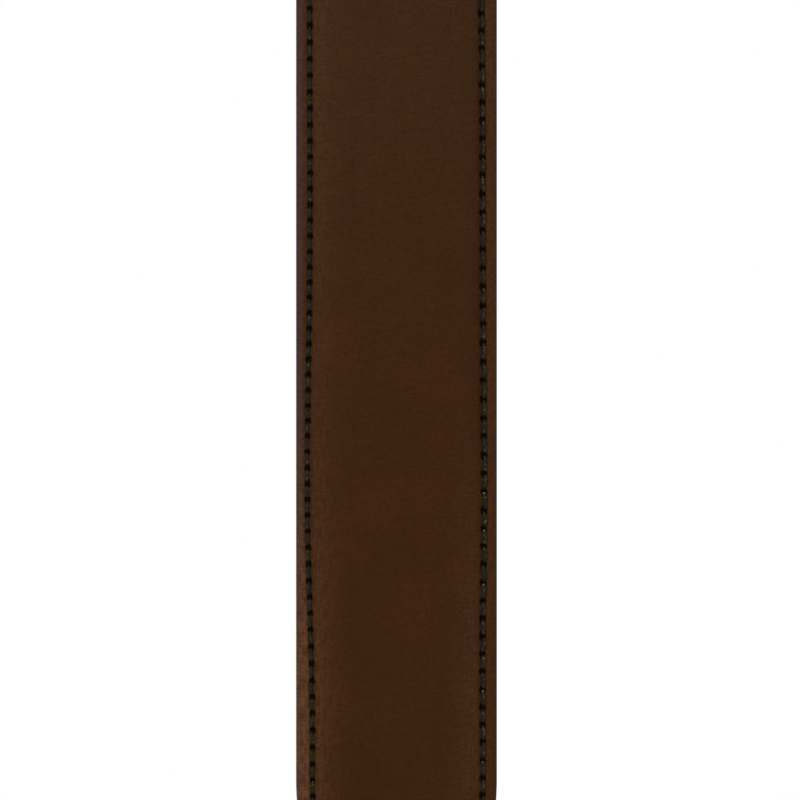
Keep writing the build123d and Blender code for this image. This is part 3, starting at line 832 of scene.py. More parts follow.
# %% [markdown]
# Real leather is not a smooth extrusion. The thread pulls it down into a groove with a
# dimple at each hole, it swells a little between the holes, and the padding is uneven
# by a tenth of a millimetre over a few centimetres. Those shapes are in the mesh, and
# only the grain and the finest creases are left to the finish.


# %% Press the seams into the leather
def sewn_relief(along, across):
    """Height that the seams add to or take from the leather's face."""
    relief = 0.0
    for name in SEAMS:
        offset = across - seam_across(name, along)
        step = from_hole(name, along)
        reach = np.hypot(offset, step * 0.85)
        swell = 0.5 - 0.5 * np.cos(2 * np.pi * step / SEAMS[name]["pitch"])
        relief = relief - GROOVE_DEPTH * bump(offset / 0.5) - DIMPLE_DEPTH * bump(reach / 0.55)
        relief = relief + 0.07 * swell * bump((np.abs(offset) - 1.3) / 0.9)
    return relief


def uneven(along, across):
    """Slow swells of the padding, in millimetres."""
    waves = np.sin(along / 13.1 + 0.6 * across / HALF) + 0.7 * np.sin(along / 7.7 - across / 9)
    return 0.04 * waves + 0.03 * np.sin(along / 21.0) * np.sin(across / 5.3)


def row_places(*stretches):
    """Places of the rows along the band, from pairs of (where a stretch starts, spacing)."""
    places = []
    for (start, spacing), (stop, _) in zip(stretches[:-1], stretches[1:]):
        places.append(np.linspace(start, stop, round((stop - start) / spacing) + 1)[:-1])
    return np.concatenate(places + [[stretches[-1][0]]])


FRONT_RUN = 172.0
NOSE_SPACING = 0.25


def band_rows(end, fine, coarse):
    """Close rows on the front leg and at the rounded noses, wider ones elsewhere."""
    nose = NOSE_CORNER_R + 1
    front = ARCH_HALF - 6
    return row_places(
        (-end, NOSE_SPACING),
        (nose - end, coarse),
        (front, fine),
        (front + FRONT_RUN, coarse),
        (end - nose, NOSE_SPACING),
        (end, 0),
    )


# %% Build the leather
def edge_rub(along, across):
    """Where the band is wrinkled and painted lighter, as painted light on the turned edges and shoulders:
    most on the lower left.
    """
    station = station_of(along)
    half = half_width(station)
    lower = ease((station - 68) / 82) * (along > 0)
    from_edge = half - np.abs(across)
    margin = ease((2.9 - from_edge) / 1.2)
    shoulder = bump((from_edge - 3.9) / 1.9) + 0.45 * bump((from_edge - 6.5) / 2.5)
    left = (0.06 + 0.46 * lower) * margin + (0.09 + 0.12 * lower) * shoulder
    right = (0.11 - 0.07 * lower) * margin + 0.10 * lower * shoulder
    return np.where(across < 0, left, right)


def seam_pull(along, across):
    """Where the tight seam draws the leather into fine creases across the band; their ridges are painted
    lighter as painted highlight.
    """
    station = station_of(along)
    from_edge = half_width(station) - np.abs(across)
    lower = ease((station - 60) / 70) * (along > 0)
    left = 0.26 * lower * ease((2.6 - from_edge) / 0.8)
    right = 0.13 * lower * ease((10.0 - from_edge) / 6) * ease((from_edge - 2.8) / 0.8)
    return np.where(across < 0, left, right)


def wax_haze(along, across):
    """A thin grey painted sheen over the top of the band, and a painted reflection where its edge turns
    down.
    """
    station = station_of(along)
    from_edge = half_width(station) - np.abs(across)
    top = 0.07 * (1 - ease((station + 25) / 120))
    upper = 1 - ease((station - 88) / 40) * (along > 0)
    left = (0.16 + 0.2 * upper) * ease((1.5 - from_edge) / 0.5)
    right = (0.06 + 0.1 * upper) * ease((0.7 - from_edge) / 0.5)
    return top + np.where(across < 0, left, right)


OFF_SEAM = 60.0
OFF_NOSE = 600.0


def seam_values(along, across):
    """Distance from each stitch line and stitches passed, for the sewn line's group.

    Where a row isn't sewn, its distance is made too long for any effect to reach.
    """
    values = {}
    past_end = OFF_SEAM * (np.abs(along) > SEAM_END - 0.8)
    for name in SEAMS:
        values[f"seam_{name}"] = across - seam_across(name, along) + past_end
        values[f"turns_{name}"] = turns(name, along)
    values["seam_nose"] = np.abs(along) - SEAM_END + OFF_NOSE * (np.abs(across) > NOSE_ROW + 1)
    values["turns_nose"] = across / STITCH_PITCH["nose"]
    return values


def make_leather():
    along = band_rows(BAND_END, 0.5, 1.15)
    station = station_of(along)
    right_x, right_h = skin_right(station)
    in_x, in_h = skin_inside(station)
    across = np.hstack([right_x, in_x, -in_x[:, -2::-1], -right_x[:, :0:-1]])
    height = np.hstack([right_h, in_h, in_h[:, -2::-1], right_h[:, :0:-1]])
    run = np.broadcast_to(along[:, None], across.shape)
    outer = right_x.shape[1]
    columns = across.shape[1]
    skin = np.zeros(columns, bool)
    skin[:outer] = True
    skin[columns - outer + 1:] = True
    face = skin[None, :] & (height > EDGE_MID)
    relief = np.where(face, sewn_relief(run, across) + uneven(run, across), 0.0)
    height = height + relief * np.clip((height - EDGE_MID) / EDGE_R, 0, 1)
    close = np.clip((np.abs(run) - (BAND_END - EDGE_R)) / EDGE_R, 0, 1)
    floor_h = WEB_TOP + 0.06
    closed = floor_h + (height - floor_h) * np.sqrt(1 - 0.96 * close**2)
    height = np.where(height > floor_h, closed, height)
    steps = np.hypot(np.diff(right_x, axis=1), np.diff(right_h, axis=1))
    girth = np.concatenate([np.zeros((len(along), 1)), np.cumsum(steps, axis=1)], axis=1)
    inner = np.zeros((len(along), columns - 2 * outer + 1))
    girth_all = np.hstack([girth, inner, -girth[:, :0:-1]])
    points = bend(run, across, height)
    faces = lattice_faces(len(along), columns)
    piece = make_object("band_leather", points, faces, "neckband", brown_leather)
    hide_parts("top_leather")
    store(piece, girth=girth_all, along=run, **seam_values(run, across))
    store(piece, rub=edge_rub(run, across), haze=wax_haze(run, across), pull=seam_pull(run, across))
    print("leather:", len(along), "rows of", columns, "points")


make_leather()

# %% [markdown]
# ## The suede lining
# The lining is a flat strip, a little narrower than the band, with its cut edges worn
# round. It gets the same seams as the leather, pressed in from its own side.


# %% Build the lining
def make_lining():
    along = band_rows(BAND_END - 0.5, 1.0, 1.5)
    station = station_of(along)
    half = (half_width(station) - 0.7)[:, None]
    round_r = LINING_T / 2
    turn = np.linspace(-math.pi / 2, math.pi / 2, 7)[None, :]
    edge_x = half - round_r + round_r * np.cos(turn)
    edge_h = round_r + round_r * np.sin(turn) + 0 * edge_x
    q = np.concatenate([np.linspace(0, 0.8, 17)[:-1], np.linspace(0.8, 1, 13)[:-1]])[None, :]
    face_x = q * (half - round_r)
    face_h = 0 * face_x
    top_x = (half - round_r) * np.linspace(1, 0, 6)[None, 1:]
    top_h = LINING_T + 0 * top_x
    right_x = np.hstack([face_x, edge_x, top_x])
    right_h = np.hstack([face_h, edge_h, top_h])
    across = np.hstack([right_x, -right_x[:, -2:0:-1]])
    height = np.hstack([right_h, right_h[:, -2:0:-1]])
    run = np.broadcast_to(along[:, None], across.shape)
    inner = height < 0.02
    relief = -0.5 * sewn_relief(run, across) + 0.02 * np.sin(run / 2.3) * np.sin(across / 1.9)
    height = np.where(inner, height + np.clip(relief, 0, 0.2), height)
    piece = make_object(
        "lining_suede",
        bend(run, across, height),
        [f[::-1] for f in lattice_faces(len(along), across.shape[1])],
        "neckband",
        suede_lining,
    )
    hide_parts("lining")
    store(piece, girth=across + height, along=run, **seam_values(run, across))
    print("lining:", len(along), "rows of", across.shape[1], "points")


make_lining()

# %% [markdown]
# ## Stitches, one at a time
# A lockstitch shows as separate short lengths: each comes up out of one hole, lies on
# the leather and goes down the next. Every stitch here is its own twisted tube. Its
# cross-section has three lobes, for the three plies, and turns as it goes. The thick
# thread of the right row bows outward between its holes, because its twist relaxes.
# Small seeded differences keep the row from looking printed.

# %% Build rows of stitches
PLIES = 3
PLY_STEP = 0.85


def twisted_tubes(paths, radius, passes, sides, depth=0.2):
    """Tubes along many paths at once, with lobes that turn as they go.

    paths is tubes x rows x 3, in millimetres, and passes is how many lobes go by on each
    tube. Gives the points and, for each, 0 in a valley to 1 on a lobe's crown.
    """
    ahead = np.gradient(paths, axis=1)
    ahead /= np.linalg.norm(ahead, axis=2, keepdims=True)
    side = np.where(np.abs(ahead[..., 0:1]) > 0.8, [0.0, 0.7, 0.7], [1.0, 0.0, 0.0])
    side = side - ahead * np.sum(side * ahead, axis=2, keepdims=True)
    side /= np.linalg.norm(side, axis=2, keepdims=True)
    up = np.cross(ahead, side)
    angle = np.linspace(0, 2 * np.pi, sides, endpoint=False)[None, None, :]
    spin = 2 * np.pi * passes * np.linspace(0, 1, paths.shape[1])[None, :, None]
    crown = 0.5 + 0.5 * np.cos(PLIES * angle - spin) + np.zeros(paths.shape[:2] + (1,))
    reach = radius * (1 - depth + depth * crown)
    x = (reach * np.cos(angle))[..., None]
    y = (reach * np.sin(angle))[..., None]
    points = paths[:, :, None, :] + x * side[:, :, None, :] + y * up[:, :, None, :]
    return points, crown


def tube_faces(count, rows, sides):
    faces = []
    for k in range(count):
        faces += lattice_faces(rows, sides, start=k * rows * sides)
    return faces


def make_threads(name, paths, radius, passes, sides, body, replaced, out_of_shade=1.0, pale_speck=0.0):
    """One piece from many threads, with the numbers that the thread's finish needs."""
    points, crown = twisted_tubes(paths, radius, passes, sides)
    faces = tube_faces(len(paths), paths.shape[1], sides)
    piece = make_object(name, points, faces, body, sewing_thread)
    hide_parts(replaced)
    run = np.linalg.norm(np.diff(paths, axis=1), axis=2).cumsum(axis=1)
    run = np.concatenate([np.zeros((len(paths), 1)), run], axis=1)
    run = run + 3.1 * np.arange(len(paths))[:, None]
    around = np.arange(sides) / sides
    spread = np.ones(crown.shape)
    per_row = {"along": run, "out_of_shade": out_of_shade, "pale_speck": pale_speck}
    for label, numbers in per_row.items():
        store(piece, **{label: np.broadcast_to(numbers, run.shape)[..., None] * spread})
    store(piece, around=around * spread, ply=crown)
    print(name, len(paths), "threads,", len(faces), "faces")


def make_row(name, holes, seam_name, face, replaced, dice):
    """Stitches between neighbouring holes. face is 1 on the leather and -1 on the lining."""
    radius = THREAD_R[seam_name]
    start, stop = holes[:-1], holes[1:]
    near = np.linalg.norm(stop - start, axis=1) < 5
    start, stop = start[near], stop[near]
    count = len(start)
    rows = 27 if face > 0 else 15
    q = np.linspace(0, 1, rows)[None, :]
    pitch = np.linalg.norm(stop - start, axis=1)[:, None]
    from_end = np.minimum(q, 1 - q) * pitch
    rise = ease((from_end - 0.22) / 0.5)
    bow = SEAMS[seam_name]["side"] * THREAD_BOW[seam_name]
    bow = bow * (0.7 + 0.6 * dice.random((count, 1))) * np.sin(math.pi * q)
    bow = bow + 0.06 * dice.standard_normal((count, 1)) * np.sin(2 * math.pi * q)
    across = start[:, :1] + (stop - start)[:, :1] * q + bow
    along = start[:, 1:] + (stop - start)[:, 1:] * q
    base = MARGIN_TOP - GROOVE_DEPTH if face > 0 else 0.08
    top = radius * (0.55 + 0.2 * dice.random((count, 1)))
    height = base + face * (-0.5 + (0.5 + top) * rise)
    paths = bend(along, across, height)
    passes = SEAMS[seam_name]["pitch"] / PLY_STEP
    sides = 12 if face > 0 else 9
    # painted shade: 0 where the stitch dives, where it is painted darkest
    out_of_shade = ease((from_end - 0.36) / 0.5)
    specked = dice.random((count, 1)) < SPECK_SHARE[seam_name]
    pale_speck = specked * bump((q * pitch - 0.42) / 0.1)
    finish = {"out_of_shade": out_of_shade, "pale_speck": pale_speck}
    make_threads(name, paths, radius, passes, sides, "neckband", replaced, **finish)


def seam_holes(name):
    """Across and along of each hole, from one nose round the loop to the other."""
    fine = np.linspace(-SEAM_END, SEAM_END, 4000)
    passed = turns(name, fine)
    whole = np.arange(math.ceil(passed[0]), math.floor(passed[-1]) + 1)
    along = np.interp(whole, passed, fine)
    return np.stack([seam_across(name, along), along], axis=1)


def nose_holes(end):
    """A short row across the nose, which closes the band's end."""
    across = np.linspace(-NOSE_ROW, NOSE_ROW, NOSE_STITCHES + 1)
    return np.stack([across, np.full_like(across, end * SEAM_END)], axis=1)


dice = np.random.default_rng(7)
apart = np.array([[0.0, 1e6]])
for row in SEAMS:
    holes = seam_holes(row)
    if row == "left":
        holes = np.vstack([holes, apart, nose_holes(1), apart, nose_holes(-1)])
    make_row(f"stitches_{row}", holes, row, 1, f"seam_thread_{row}", dice)
    make_row(f"bobbin_{row}", holes, row, -1, f"bobbin_thread_{row}", dice)

# %% [markdown]
# ## Webbing
# Each length of webbing is a ribbon with round selvages and shallow ribs, drawn along
# a middle line that is made of straight runs and arcs, as webbing lies when it is
# pulled round a bar. `Trail` gathers such a line in the plane of the loop.


# %% Draw middle lines and ribbons
class Trail:
    """Points of a line in the Y-Z plane, added run by run."""

    def __init__(self, start, spacing=0.8):
        self.points = [np.array(start, float)]
        self.spacing = spacing

    def line(self, end, spacing=None):
        start = self.points[-1]
        end = np.array(end, float)
        count = max(1, round(np.linalg.norm(end - start) / (spacing or self.spacing)))
        self.points += [start + (end - start) * i / count for i in range(1, count + 1)]
        return self

    def arc(self, centre, turn, spacing=None):
        """Turn by an angle in radians about a centre, counter-clockwise if positive."""
        centre = np.array(centre, float)
        arm = self.points[-1] - centre
        length = abs(turn) * np.linalg.norm(arm)
        count = max(8, round(length / (spacing or self.spacing)))
        for i in range(1, count + 1):
            c, s = math.cos(turn * i / count), math.sin(turn * i / count)
            self.points.append(centre + np.array([c * arm[0] - s * arm[1], s * arm[0] + c * arm[1]]))
        return self


RIB_HEIGHT = 0.035
RIB_SPACING = 1.6


def web_outline(width, thickness):
    """Across and height of a webbing section, once round, with ribs and round selvages."""
    r = thickness / 2
    x = np.linspace(-width / 2 + r, width / 2 - r, 57)
    ribs = RIB_HEIGHT * (np.cos(2 * math.pi * x / RIB_SPACING) - 1)
    turn = np.linspace(math.pi / 2, -math.pi / 2, 9)[1:-1]
    right = np.stack([width / 2 - r + r * np.cos(turn), r * np.sin(turn)], axis=1)
    top = np.stack([x, r + ribs], axis=1)
    bottom = np.stack([x[::-1], -r - ribs[::-1]], axis=1)
    left = np.stack([-right[::-1, 0], right[::-1, 1]], axis=1)
    return np.vstack([top, right, bottom, left])


def make_ribbon(name, trail, body, replaced, loop=False):
    path = np.array(trail.points)
    if loop:
        path = path[:-1]
        around = np.vstack([path[-1:], path, path[:1]])
        ahead = around[2:] - around[:-2]
    else:
        ahead = np.gradient(path, axis=0)
    ahead = ahead / np.linalg.norm(ahead, axis=1, keepdims=True)
    normal = np.stack([-ahead[:, 1], ahead[:, 0]], axis=1)
    outline = web_outline(2 * WEB_HALF, WEB_T)
    across = np.broadcast_to(outline[None, :, 0], (len(path), len(outline)))
    centre = path[:, None, :] + normal[:, None, :] * outline[None, :, 1:2]
    points = np.concatenate([across[..., None], centre], axis=2)
    lengths = run_lengths(path)
    run = np.broadcast_to(lengths[:, None], across.shape)
    faces = lattice_faces(len(path), len(outline), loop=loop)
    piece = make_object(name, points, faces, body, black_webbing)
    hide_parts(replaced)
    store(piece, across=across, along=run)
    print(name, f"{lengths[-1]:.1f} mm long")
    return piece


# %% [markdown]
# The core runs as one closed loop: over the arch, down inside each leg, out of the
# noses and round the ring's upper bar. Inside the band it is hidden, so its rows are
# wide there. The drop starts as a fold that is sewn round the ring's lower bar, hangs
# down to the hook's eye, goes round the eye's bar, and comes back up through the slider.

# %% Lay the webbing
BEND_MID = BAR_R + LINING_T + WEB_T / 2
LEG_OUT = (-math.cos(LEAN), -math.sin(LEAN))
LEG_DOWN = (math.sin(LEAN), -math.cos(LEAN))


def leg_place(station, height):
    y = LEG_OUT[0] * (NECK_R + height) + LEG_DOWN[0] * station
    z = -NECK_R + LEG_OUT[1] * (NECK_R + height) + LEG_DOWN[1] * station
    return np.array([y, z])


def core_trail():
    middle = LINING_T + WEB_T / 2
    flip = np.array([-1.0, 1.0])
    top, nose, foot = (leg_place(s, middle) for s in (0.0, NOSE_END - 8, LEG_LENGTH))
    half_turn = math.pi - 2 * LEAN
    trail = Trail(foot)
    trail.line(nose).line(top, 4.0)
    trail.arc((0, -NECK_R), -(math.pi + 2 * LEAN), 3.0)
    trail.line(nose * flip, 4.0).line(foot * flip)
    return trail.arc((0, RING_Z), -half_turn, 0.35)


HEM_Z = low("anchor_fold")[2]
TAIL_Z = high("tail_tip")[2]
FOLD_RUN = 10.0
FOLD_BEND_R = 5.0
SEWN_Y = -BEND_MID + WEB_T + 0.05


def fold_trail():
    """Up the front, over the bar, down to the front ply and along it to the hem's end."""
    meet = np.array([SEWN_Y, ANCHOR_Z - FOLD_RUN])
    reach = math.hypot(SEWN_Y, FOLD_RUN)
    leave = math.atan2(-FOLD_RUN, SEWN_Y) + math.acos(BEND_MID / reach)
    trail = Trail((-BEND_MID, HEM_Z), 0.5)
    trail.line((-BEND_MID, ANCHOR_Z))
    trail.arc((0, ANCHOR_Z), -(math.pi - leave), 0.3)
    back = trail.points[-1]
    heading = (meet - back) / np.linalg.norm(meet - back)
    turn = math.asin(abs(heading[0]))
    cut = FOLD_BEND_R * math.tan(turn / 2)
    trail.line(meet - heading * cut)
    trail.arc((SEWN_Y + FOLD_BEND_R, meet[1] - cut), turn, 0.4)
    return trail.line((SEWN_Y, HEM_Z))


def tail_trail():
    trail = Trail((-BEND_MID, EYE_Z), 0.5)
    trail.arc((0, EYE_Z), math.pi, 0.3)
    return trail.line((BEND_MID, TAIL_Z - 0.7))


make_ribbon("web_core", core_trail(), "neckband", "core_webbing", loop=True)
make_ribbon("web_fold", fold_trail(), "drop", "anchor_fold")
make_ribbon("web_tail", tail_trail(), "carriage", "tail_leg")
standing = Trail((-BEND_MID, EYE_Z), 0.5).line((-BEND_MID, HEM_Z))
web_standing = make_ribbon("web_standing", standing, "drop", "standing_leg")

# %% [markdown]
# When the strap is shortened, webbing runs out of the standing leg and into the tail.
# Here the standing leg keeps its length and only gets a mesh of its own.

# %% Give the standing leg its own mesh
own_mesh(web_standing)

# %% [markdown]
# ## Bartacks on the hem
# A bartack is a dense zigzag, sewn back and forth over the same few millimetres. Each
# one here is a run of short slanted threads, close enough to touch.


# %% Build the bartacks
def make_bartacks():
    tack_low, tack_high = low("anchor_bartacks"), high("anchor_bartacks")
    run = 1.8
    face_y = tack_high[1]
    threads = 27
    x = np.linspace(tack_low[0], tack_high[0], threads + 1)
    paths = []
    for z in (tack_low[2] + run / 2, tack_high[2] - run / 2):
        for i in range(threads):
            way = 1 if i % 2 else -1
            q = np.linspace(0, 1, 9)
            px = x[i] + (x[i + 1] - x[i]) * q
            pz = z + way * run / 2 * (1 - 2 * q)
            py = face_y + 0.12 - 0.3 * np.sqrt(np.sin(math.pi * np.clip(q, 0.01, 0.99)))
            paths.append(np.stack([px, py, pz], axis=1))
    make_threads("bartacks", np.array(paths), 0.2, 3, 8, "drop", "anchor_bartacks")


make_bartacks()

# %% [markdown]
# ## Rivets
# Tubular rivets close each nose over the webbing. The outer cap is a thin pressed dome
# with a turned rim and the inner one a flatter disc with a dimple where it was set.
# Both are lathed: a profile turned about the rivet's own axis.


# %% Lathe the rivet caps
LATHE_SIDES = 48


def lathe(profile):
    """Points and faces of a solid of revolution whose profile starts and ends on its axis."""
    angle = np.linspace(0, 2 * math.pi, LATHE_SIDES, endpoint=False)
    rings = np.array(profile[1:-1])
    points = [(0.0, 0.0, profile[0][1])]
    for r, h in rings:
        points += [(r * math.cos(a), r * math.sin(a), h) for a in angle]
    points.append((0.0, 0.0, profile[-1][1]))
    faces = []
    for c in range(LATHE_SIDES):
        d = (c + 1) % LATHE_SIDES
        faces.append((0, 1 + c, 1 + d))
        for k in range(len(rings) - 1):
            a, b = 1 + k * LATHE_SIDES, 1 + (k + 1) * LATHE_SIDES
            faces.append((a + c, b + c, b + d, a + d))
        a = 1 + (len(rings) - 1) * LATHE_SIDES
        faces.append((a + d, a + c, len(points) - 1))
    return np.array(points), faces


def curve_points(start, end, bulge, count):
    """An arc-like run of profile points from start to end, not counting start."""
    q = np.linspace(0, 1, count)[1:]
    start, end = np.array(start), np.array(end)
    side = np.array([end[1] - start[1], start[0] - end[0]])
    return [tuple(start + (end - start) * t + side * bulge * 4 * t * (1 - t)) for t in q]


RIVET_DROPS = (7.0, 19.0)


def rivet_frames(outward):
    """Place and rotation of each rivet on both legs; local z points out, or in for the backs."""
    node = "rivet_caps" if outward else "rivet_backs"
    frames = []
    for leg in (1, -1):
        for drop in RIVET_DROPS:
            along = leg * (BAND_END - drop)
            height = MARGIN_TOP + PAD_CENTRE * PAD_LEAST + 0.02 if outward else 0.0
            origin = bend(along, 0.0, height)
            out = bend(along, 0.0, height + 1) - origin
            z_axis = out if outward else -out
            x_axis = np.array([1.0, 0.0, 0.0])
            frames.append((origin, np.stack([x_axis, np.cross(z_axis, x_axis), z_axis], axis=1)))
    print(node, len(frames))
    return frames


def make_rivet_caps(name, profile, outward, replaced):
    shape, faces = lathe(profile)
    points = []
    all_faces = []
    for origin, turn in rivet_frames(outward):
        all_faces += [tuple(i + len(points) * len(shape) for i in f) for f in faces]
        points.append(shape @ turn.T + origin)
    piece = make_object(name, np.array(points), all_faces, "neckband", nickel)
    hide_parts(replaced)


cap_profile = [(0, -0.05), (3.7, -0.05)]
cap_profile += curve_points((3.7, -0.05), (3.72, 0.4), 0.28, 9)
cap_profile += curve_points((3.72, 0.4), (3.3, 0.46), -0.12, 5)
cap_profile += curve_points((3.3, 0.46), (0.15, 1.28), 0.075, 16)
cap_profile.append((0, 1.28))
back_profile = [(0, -0.02), (3.25, -0.02)]
back_profile += curve_points((3.25, -0.02), (3.2, 0.4), 0.28, 9)
back_profile += curve_points((3.2, 0.4), (1.5, 0.72), 0.07, 8)
back_profile += curve_points((1.5, 0.72), (0.15, 0.35), -0.12, 8)
back_profile.append((0, 0.35))
make_rivet_caps("rivet_domes", cap_profile, True, "rivet_caps")
make_rivet_caps("rivet_discs", back_profile, False, "rivet_backs")

# %% [markdown]
# ## The gate's spring
# A few turns of fine wire sit behind the gate and push it shut. On the real hook the
# coil closes up flat against the wall of its slot when the gate opens, because the gate's
# tang swings almost to that wall. Here the coil is built at rest and keeps that shape.


# %% Coil the spring
def make_spring():
    spring_low, spring_high = low("gate_spring"), high("gate_spring")
    wire = 0.2
    length = spring_high[0] - spring_low[0] - 2 * wire
    coil_r = (spring_high[2] - spring_low[2]) / 2 - wire
    middle_z = (spring_high[2] + spring_low[2]) / 2
    coils = 5
    per_coil = 24
    sides = 10
    angle = np.linspace(0, 2 * math.pi * coils, coils * per_coil + 1)
    x = spring_low[0] + wire + length * angle / angle[-1]
    path = np.stack([x, coil_r * np.sin(angle), middle_z + coil_r * np.cos(angle)], axis=1)
    points, _ = twisted_tubes(path[None], wire, passes=0, sides=sides, depth=0)
    faces = tube_faces(1, len(angle), sides)
    piece = make_object("gate_coil", points, faces, "hook", spring_steel)
    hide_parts("gate_spring")
    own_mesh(piece)


make_spring()

# %% [markdown]
# ## The strap's metal tip
# A thin plate is folded round the webbing's end and crimped with two beads, which stop
# it from sliding off. It is one lattice again: a rounded outline that is drawn up the
# inside, over the lip and down the outside, with its size changing at each bead.


# %% Press the tip
def tip_outline(inset, half_x, half_y, corner, centre_y):
    """A rounded rectangle, made smaller by inset, as points in X and Y."""
    radius = max(corner - inset, 0.12)
    hx, hy = half_x - inset - radius, half_y - inset - radius
    points = []
    for quarter, (sx, sy) in enumerate(((1, 1), (-1, 1), (-1, -1), (1, -1))):
        for step in range(6):
            angle = math.pi / 2 * (quarter + step / 5)
            x = sx * hx + radius * math.cos(angle)
            points.append((x, centre_y + sy * hy + radius * math.sin(angle)))
    return points


def make_tip():
    bottom, top = low("tail_tip"), high("tail_tip")
    half_x, half_y = top[0], (top[1] - bottom[1]) / 2
    centre_y = (top[1] + bottom[1]) / 2
    wall = 0.55
    corner = 0.55
    beads = (bottom[2] + 1.9, bottom[2] + 4.1)
    rows = [(wall, top[2] - wall), (wall, bottom[2] + 0.2), (wall * 0.7, bottom[2])]
    rows += [(wall * 0.3, bottom[2]), (0.02, bottom[2] + 0.2)]
    for z in np.linspace(bottom[2] + 0.5, top[2] - 0.6, 34):
        rows.append((0.02 + 0.24 * sum(bump((z - bead) / 0.42) for bead in beads), z))
    rows += [(0.02, top[2] - 0.45), (0.12, top[2] - 0.15), (0.4, top[2])]
    points = []
    for inset, z in rows:
        points += [(x, y, z) for x, y in tip_outline(inset, half_x, half_y, corner, centre_y)]
    faces = lattice_faces(len(rows), len(points) // len(rows))
    piece = make_object("webbing_tip", points, faces, "carriage", nickel)
    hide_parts("tail_tip")


make_tip()

# %% [markdown]
# ## Soften the edges of hard solids
# No pressed or moulded part has a knife edge. The gate and the slider are copied from
# their solids, their flat faces are merged, and every sharp edge gets a narrow round.


# %% Copy and bevel
FLAT_ANGLE = math.radians(2)
SHARP_ANGLE = math.radians(38)
SMOOTH_ANGLE = math.radians(35)
BEVEL_SEGMENTS = 3


def soften(name, node, body, material, width):
    source = frame["nodes"][node].data
    work = bmesh.new()
    work.from_mesh(source)
    bmesh.ops.remove_doubles(work, verts=work.verts, dist=1e-6)
    bmesh.ops.dissolve_limit(work, angle_limit=FLAT_ANGLE, verts=work.verts, edges=work.edges)
    sharp = [e for e in work.edges if e.is_manifold and e.calc_face_angle(0) > SHARP_ANGLE]
    bmesh.ops.bevel(
        work,
        geom=sharp,
        offset=width * MM,
        segments=BEVEL_SEGMENTS,
        profile=0.5,
        affect="EDGES",
        clamp_overlap=True,
    )
    mesh = bpy.data.meshes.new(name)
    work.to_mesh(mesh)
    work.free()
    mesh.polygons.foreach_set("use_smooth", [True] * len(mesh.polygons))
    mesh.set_sharp_from_angle(angle=SMOOTH_ANGLE)
    mesh.materials.clear()
    mesh.materials.append(material)
    piece = put_piece(name, mesh, body)
    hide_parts(node)
    print(name, len(sharp), "edges softened")


soften("gate", "gate_lever", "gate", nickel, 0.3)
soften("slider", "strap_slider", "slider", black_acetal, 0.22)

# %% [markdown]
# ## Pieces that keep their solid
# The ring, the eye, the hook and its pins already have their true shape with rounded
# edges. They only need smooth shading across small angles, and their finish.


# %% Dress the hard solids
def dress(names, material):
    for name in names:
        node = frame["nodes"][name]
        node.data.materials.clear()
        node.data.materials.append(material)
        node.data.polygons.foreach_set("material_index", [0] * len(node.data.polygons))
        node.data.set_sharp_from_angle(angle=SMOOTH_ANGLE)


dress(["square_ring", "swivel_eye", "swivel_rivet", "hook_body", "rivet_posts"], nickel)
dress(["gate_pin"], spring_steel)
dress(["foam_pad"], foam)

# %% [markdown]
# ## Camera
# The view is square to the front leg, which leans in towards the ring, so the camera
# stands a little below it and looks up. A long lens keeps the band's edges parallel.

# %% Camera square to the front leg
LENS = 200.0
SENSOR = 36.0
VIEW_SPAN = 151.75
VIEW_STATION = 80.0
VIEW_SHIFT = 0.67


def aim(thing, target, position):
    thing.location = position
    thing.rotation_mode = "QUATERNION"
    thing.rotation_quaternion = (Vector(target) - Vector(position)).to_track_quat("-Z", "Y")


def make_camera():
    data = bpy.data.cameras.new("camera")
    data.type = "PERSP"
    data.lens = LENS
    data.sensor_width = SENSOR
    camera = put("camera", data)
    distance = VIEW_SPAN * LENS / SENSOR
    seen_y, seen_z = leg_place(VIEW_STATION, EDGE_MID)
    stand_y, stand_z = leg_place(VIEW_STATION, EDGE_MID + distance)
    target = Vector((VIEW_SHIFT, seen_y, seen_z)) * MM
    aim(camera, target, Vector((VIEW_SHIFT, stand_y, stand_z)) * MM)
    data.clip_start, data.clip_end = 0.01, 20
    bpy.context.scene.camera = camera
    return camera


camera = make_camera()
print("camera at", tuple(round(c, 3) for c in camera.location))

# %% [markdown]
# ## Floor, light and background
# The floor lies a little below the hook. Broad lamps light the band: a large one high
# on the left, a weaker one on the right, a small one above the front of the arch, one
# overhead and one behind. The world gives an even grey fill, and shows white to the
# camera and in reflections, so the background is clean without more light on the leather.
# Seen from underneath the floor is clear, so that the strap can be looked at from below.


# %% Stage
FLOOR_Z = -0.62
FLOOR_R = 40.0
FLOOR_SIDES = 96


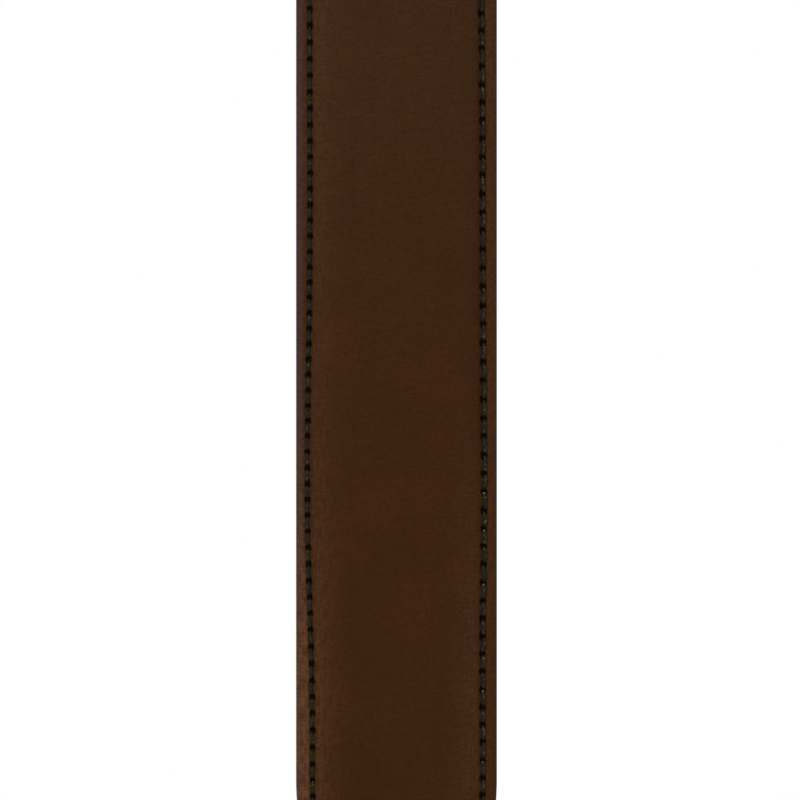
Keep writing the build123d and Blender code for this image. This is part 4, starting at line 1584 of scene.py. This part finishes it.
def make_floor():
    mesh = bpy.data.meshes.new("floor")
    angle = np.linspace(0, 2 * math.pi, FLOOR_SIDES, endpoint=False)
    rim = FLOOR_R * np.stack([np.cos(angle), np.sin(angle), 0 * angle], axis=1)
    mesh.from_pydata(rim.tolist(), [], [tuple(range(len(rim)))])
    material, tree, shader = new_finish("pale floor", Roughness=0.9, Specular_IOR_Level=0.1)
    place = add(tree, "ShaderNodeTexCoord").outputs["Object"]
    body = mix(tree, noise(tree, place, 3.0, 3.0), rgb(236, 235, 233), rgb(242, 241, 239))
    dress_shader(tree, shader, body)
    seen = add(tree, "ShaderNodeLightPath").outputs["Is Camera Ray"]
    glow = add(tree, "ShaderNodeEmission", {"Color": body, "Strength": 0.6})
    lit = add(tree, "ShaderNodeAddShader", {0: shader.outputs[0], 1: glow.outputs[0]})
    both = add(tree, "ShaderNodeMixShader", {0: seen, 1: shader.outputs[0], 2: lit.outputs[0]})
    under = add(tree, "ShaderNodeNewGeometry").outputs["Backfacing"]
    clear = add(tree, "ShaderNodeBsdfTransparent")
    either = add(tree, "ShaderNodeMixShader", {0: under, 1: both.outputs[0], 2: clear.outputs[0]})
    output = tree.nodes["Material Output"]
    tree.links.new(either.outputs[0], output.inputs["Surface"])
    mesh.materials.append(material)
    floor = put("floor", mesh)
    floor.location = (0, 0, FLOOR_Z)


def make_lamp(name, position, target, size, power):
    data = bpy.data.lights.new(name, "AREA")
    data.shape = "RECTANGLE"
    data.size, data.size_y = size
    data.energy = power
    lamp = put(name, data)
    lamp.visible_camera = False
    aim(lamp, target, position)


def make_world():
    world = bpy.data.worlds.new("studio")
    world.use_nodes = True
    bpy.context.scene.world = world
    tree = world.node_tree
    tree.nodes.clear()
    fill = add(tree, "ShaderNodeBackground", {"Color": (1, 1, 1, 1), "Strength": 0.34})
    white = add(tree, "ShaderNodeBackground", {"Color": (1, 1, 1, 1), "Strength": 1.0})
    path = add(tree, "ShaderNodeLightPath").outputs
    shows = maths(tree, "MAXIMUM", path["Is Camera Ray"], path["Is Glossy Ray"])
    shows = maths(tree, "MAXIMUM", shows, path["Is Transmission Ray"])
    both = add(tree, "ShaderNodeMixShader", {0: shows, 1: fill.outputs[0], 2: white.outputs[0]})
    add(tree, "ShaderNodeOutputWorld", {"Surface": both.outputs[0]})


make_floor()
make_world()
middle = (0, -0.03, -0.2)
make_lamp("key", (-0.95, -1.15, 0.35), middle, (0.9, 1.2), 14)
make_lamp("side", (1.15, -0.9, -0.2), middle, (0.8, 1.2), 6)
make_lamp("front", (0.0, -0.5, 0.5), (0, -0.06, -0.08), (0.6, 0.5), 2.5)
make_lamp("top", (0.1, 0.3, 1.2), middle, (1.2, 1.2), 8)
make_lamp("back", (-0.5, 1.3, 0.1), middle, (1.0, 1.0), 9)
bpy.context.scene.view_settings.view_transform = "Standard"
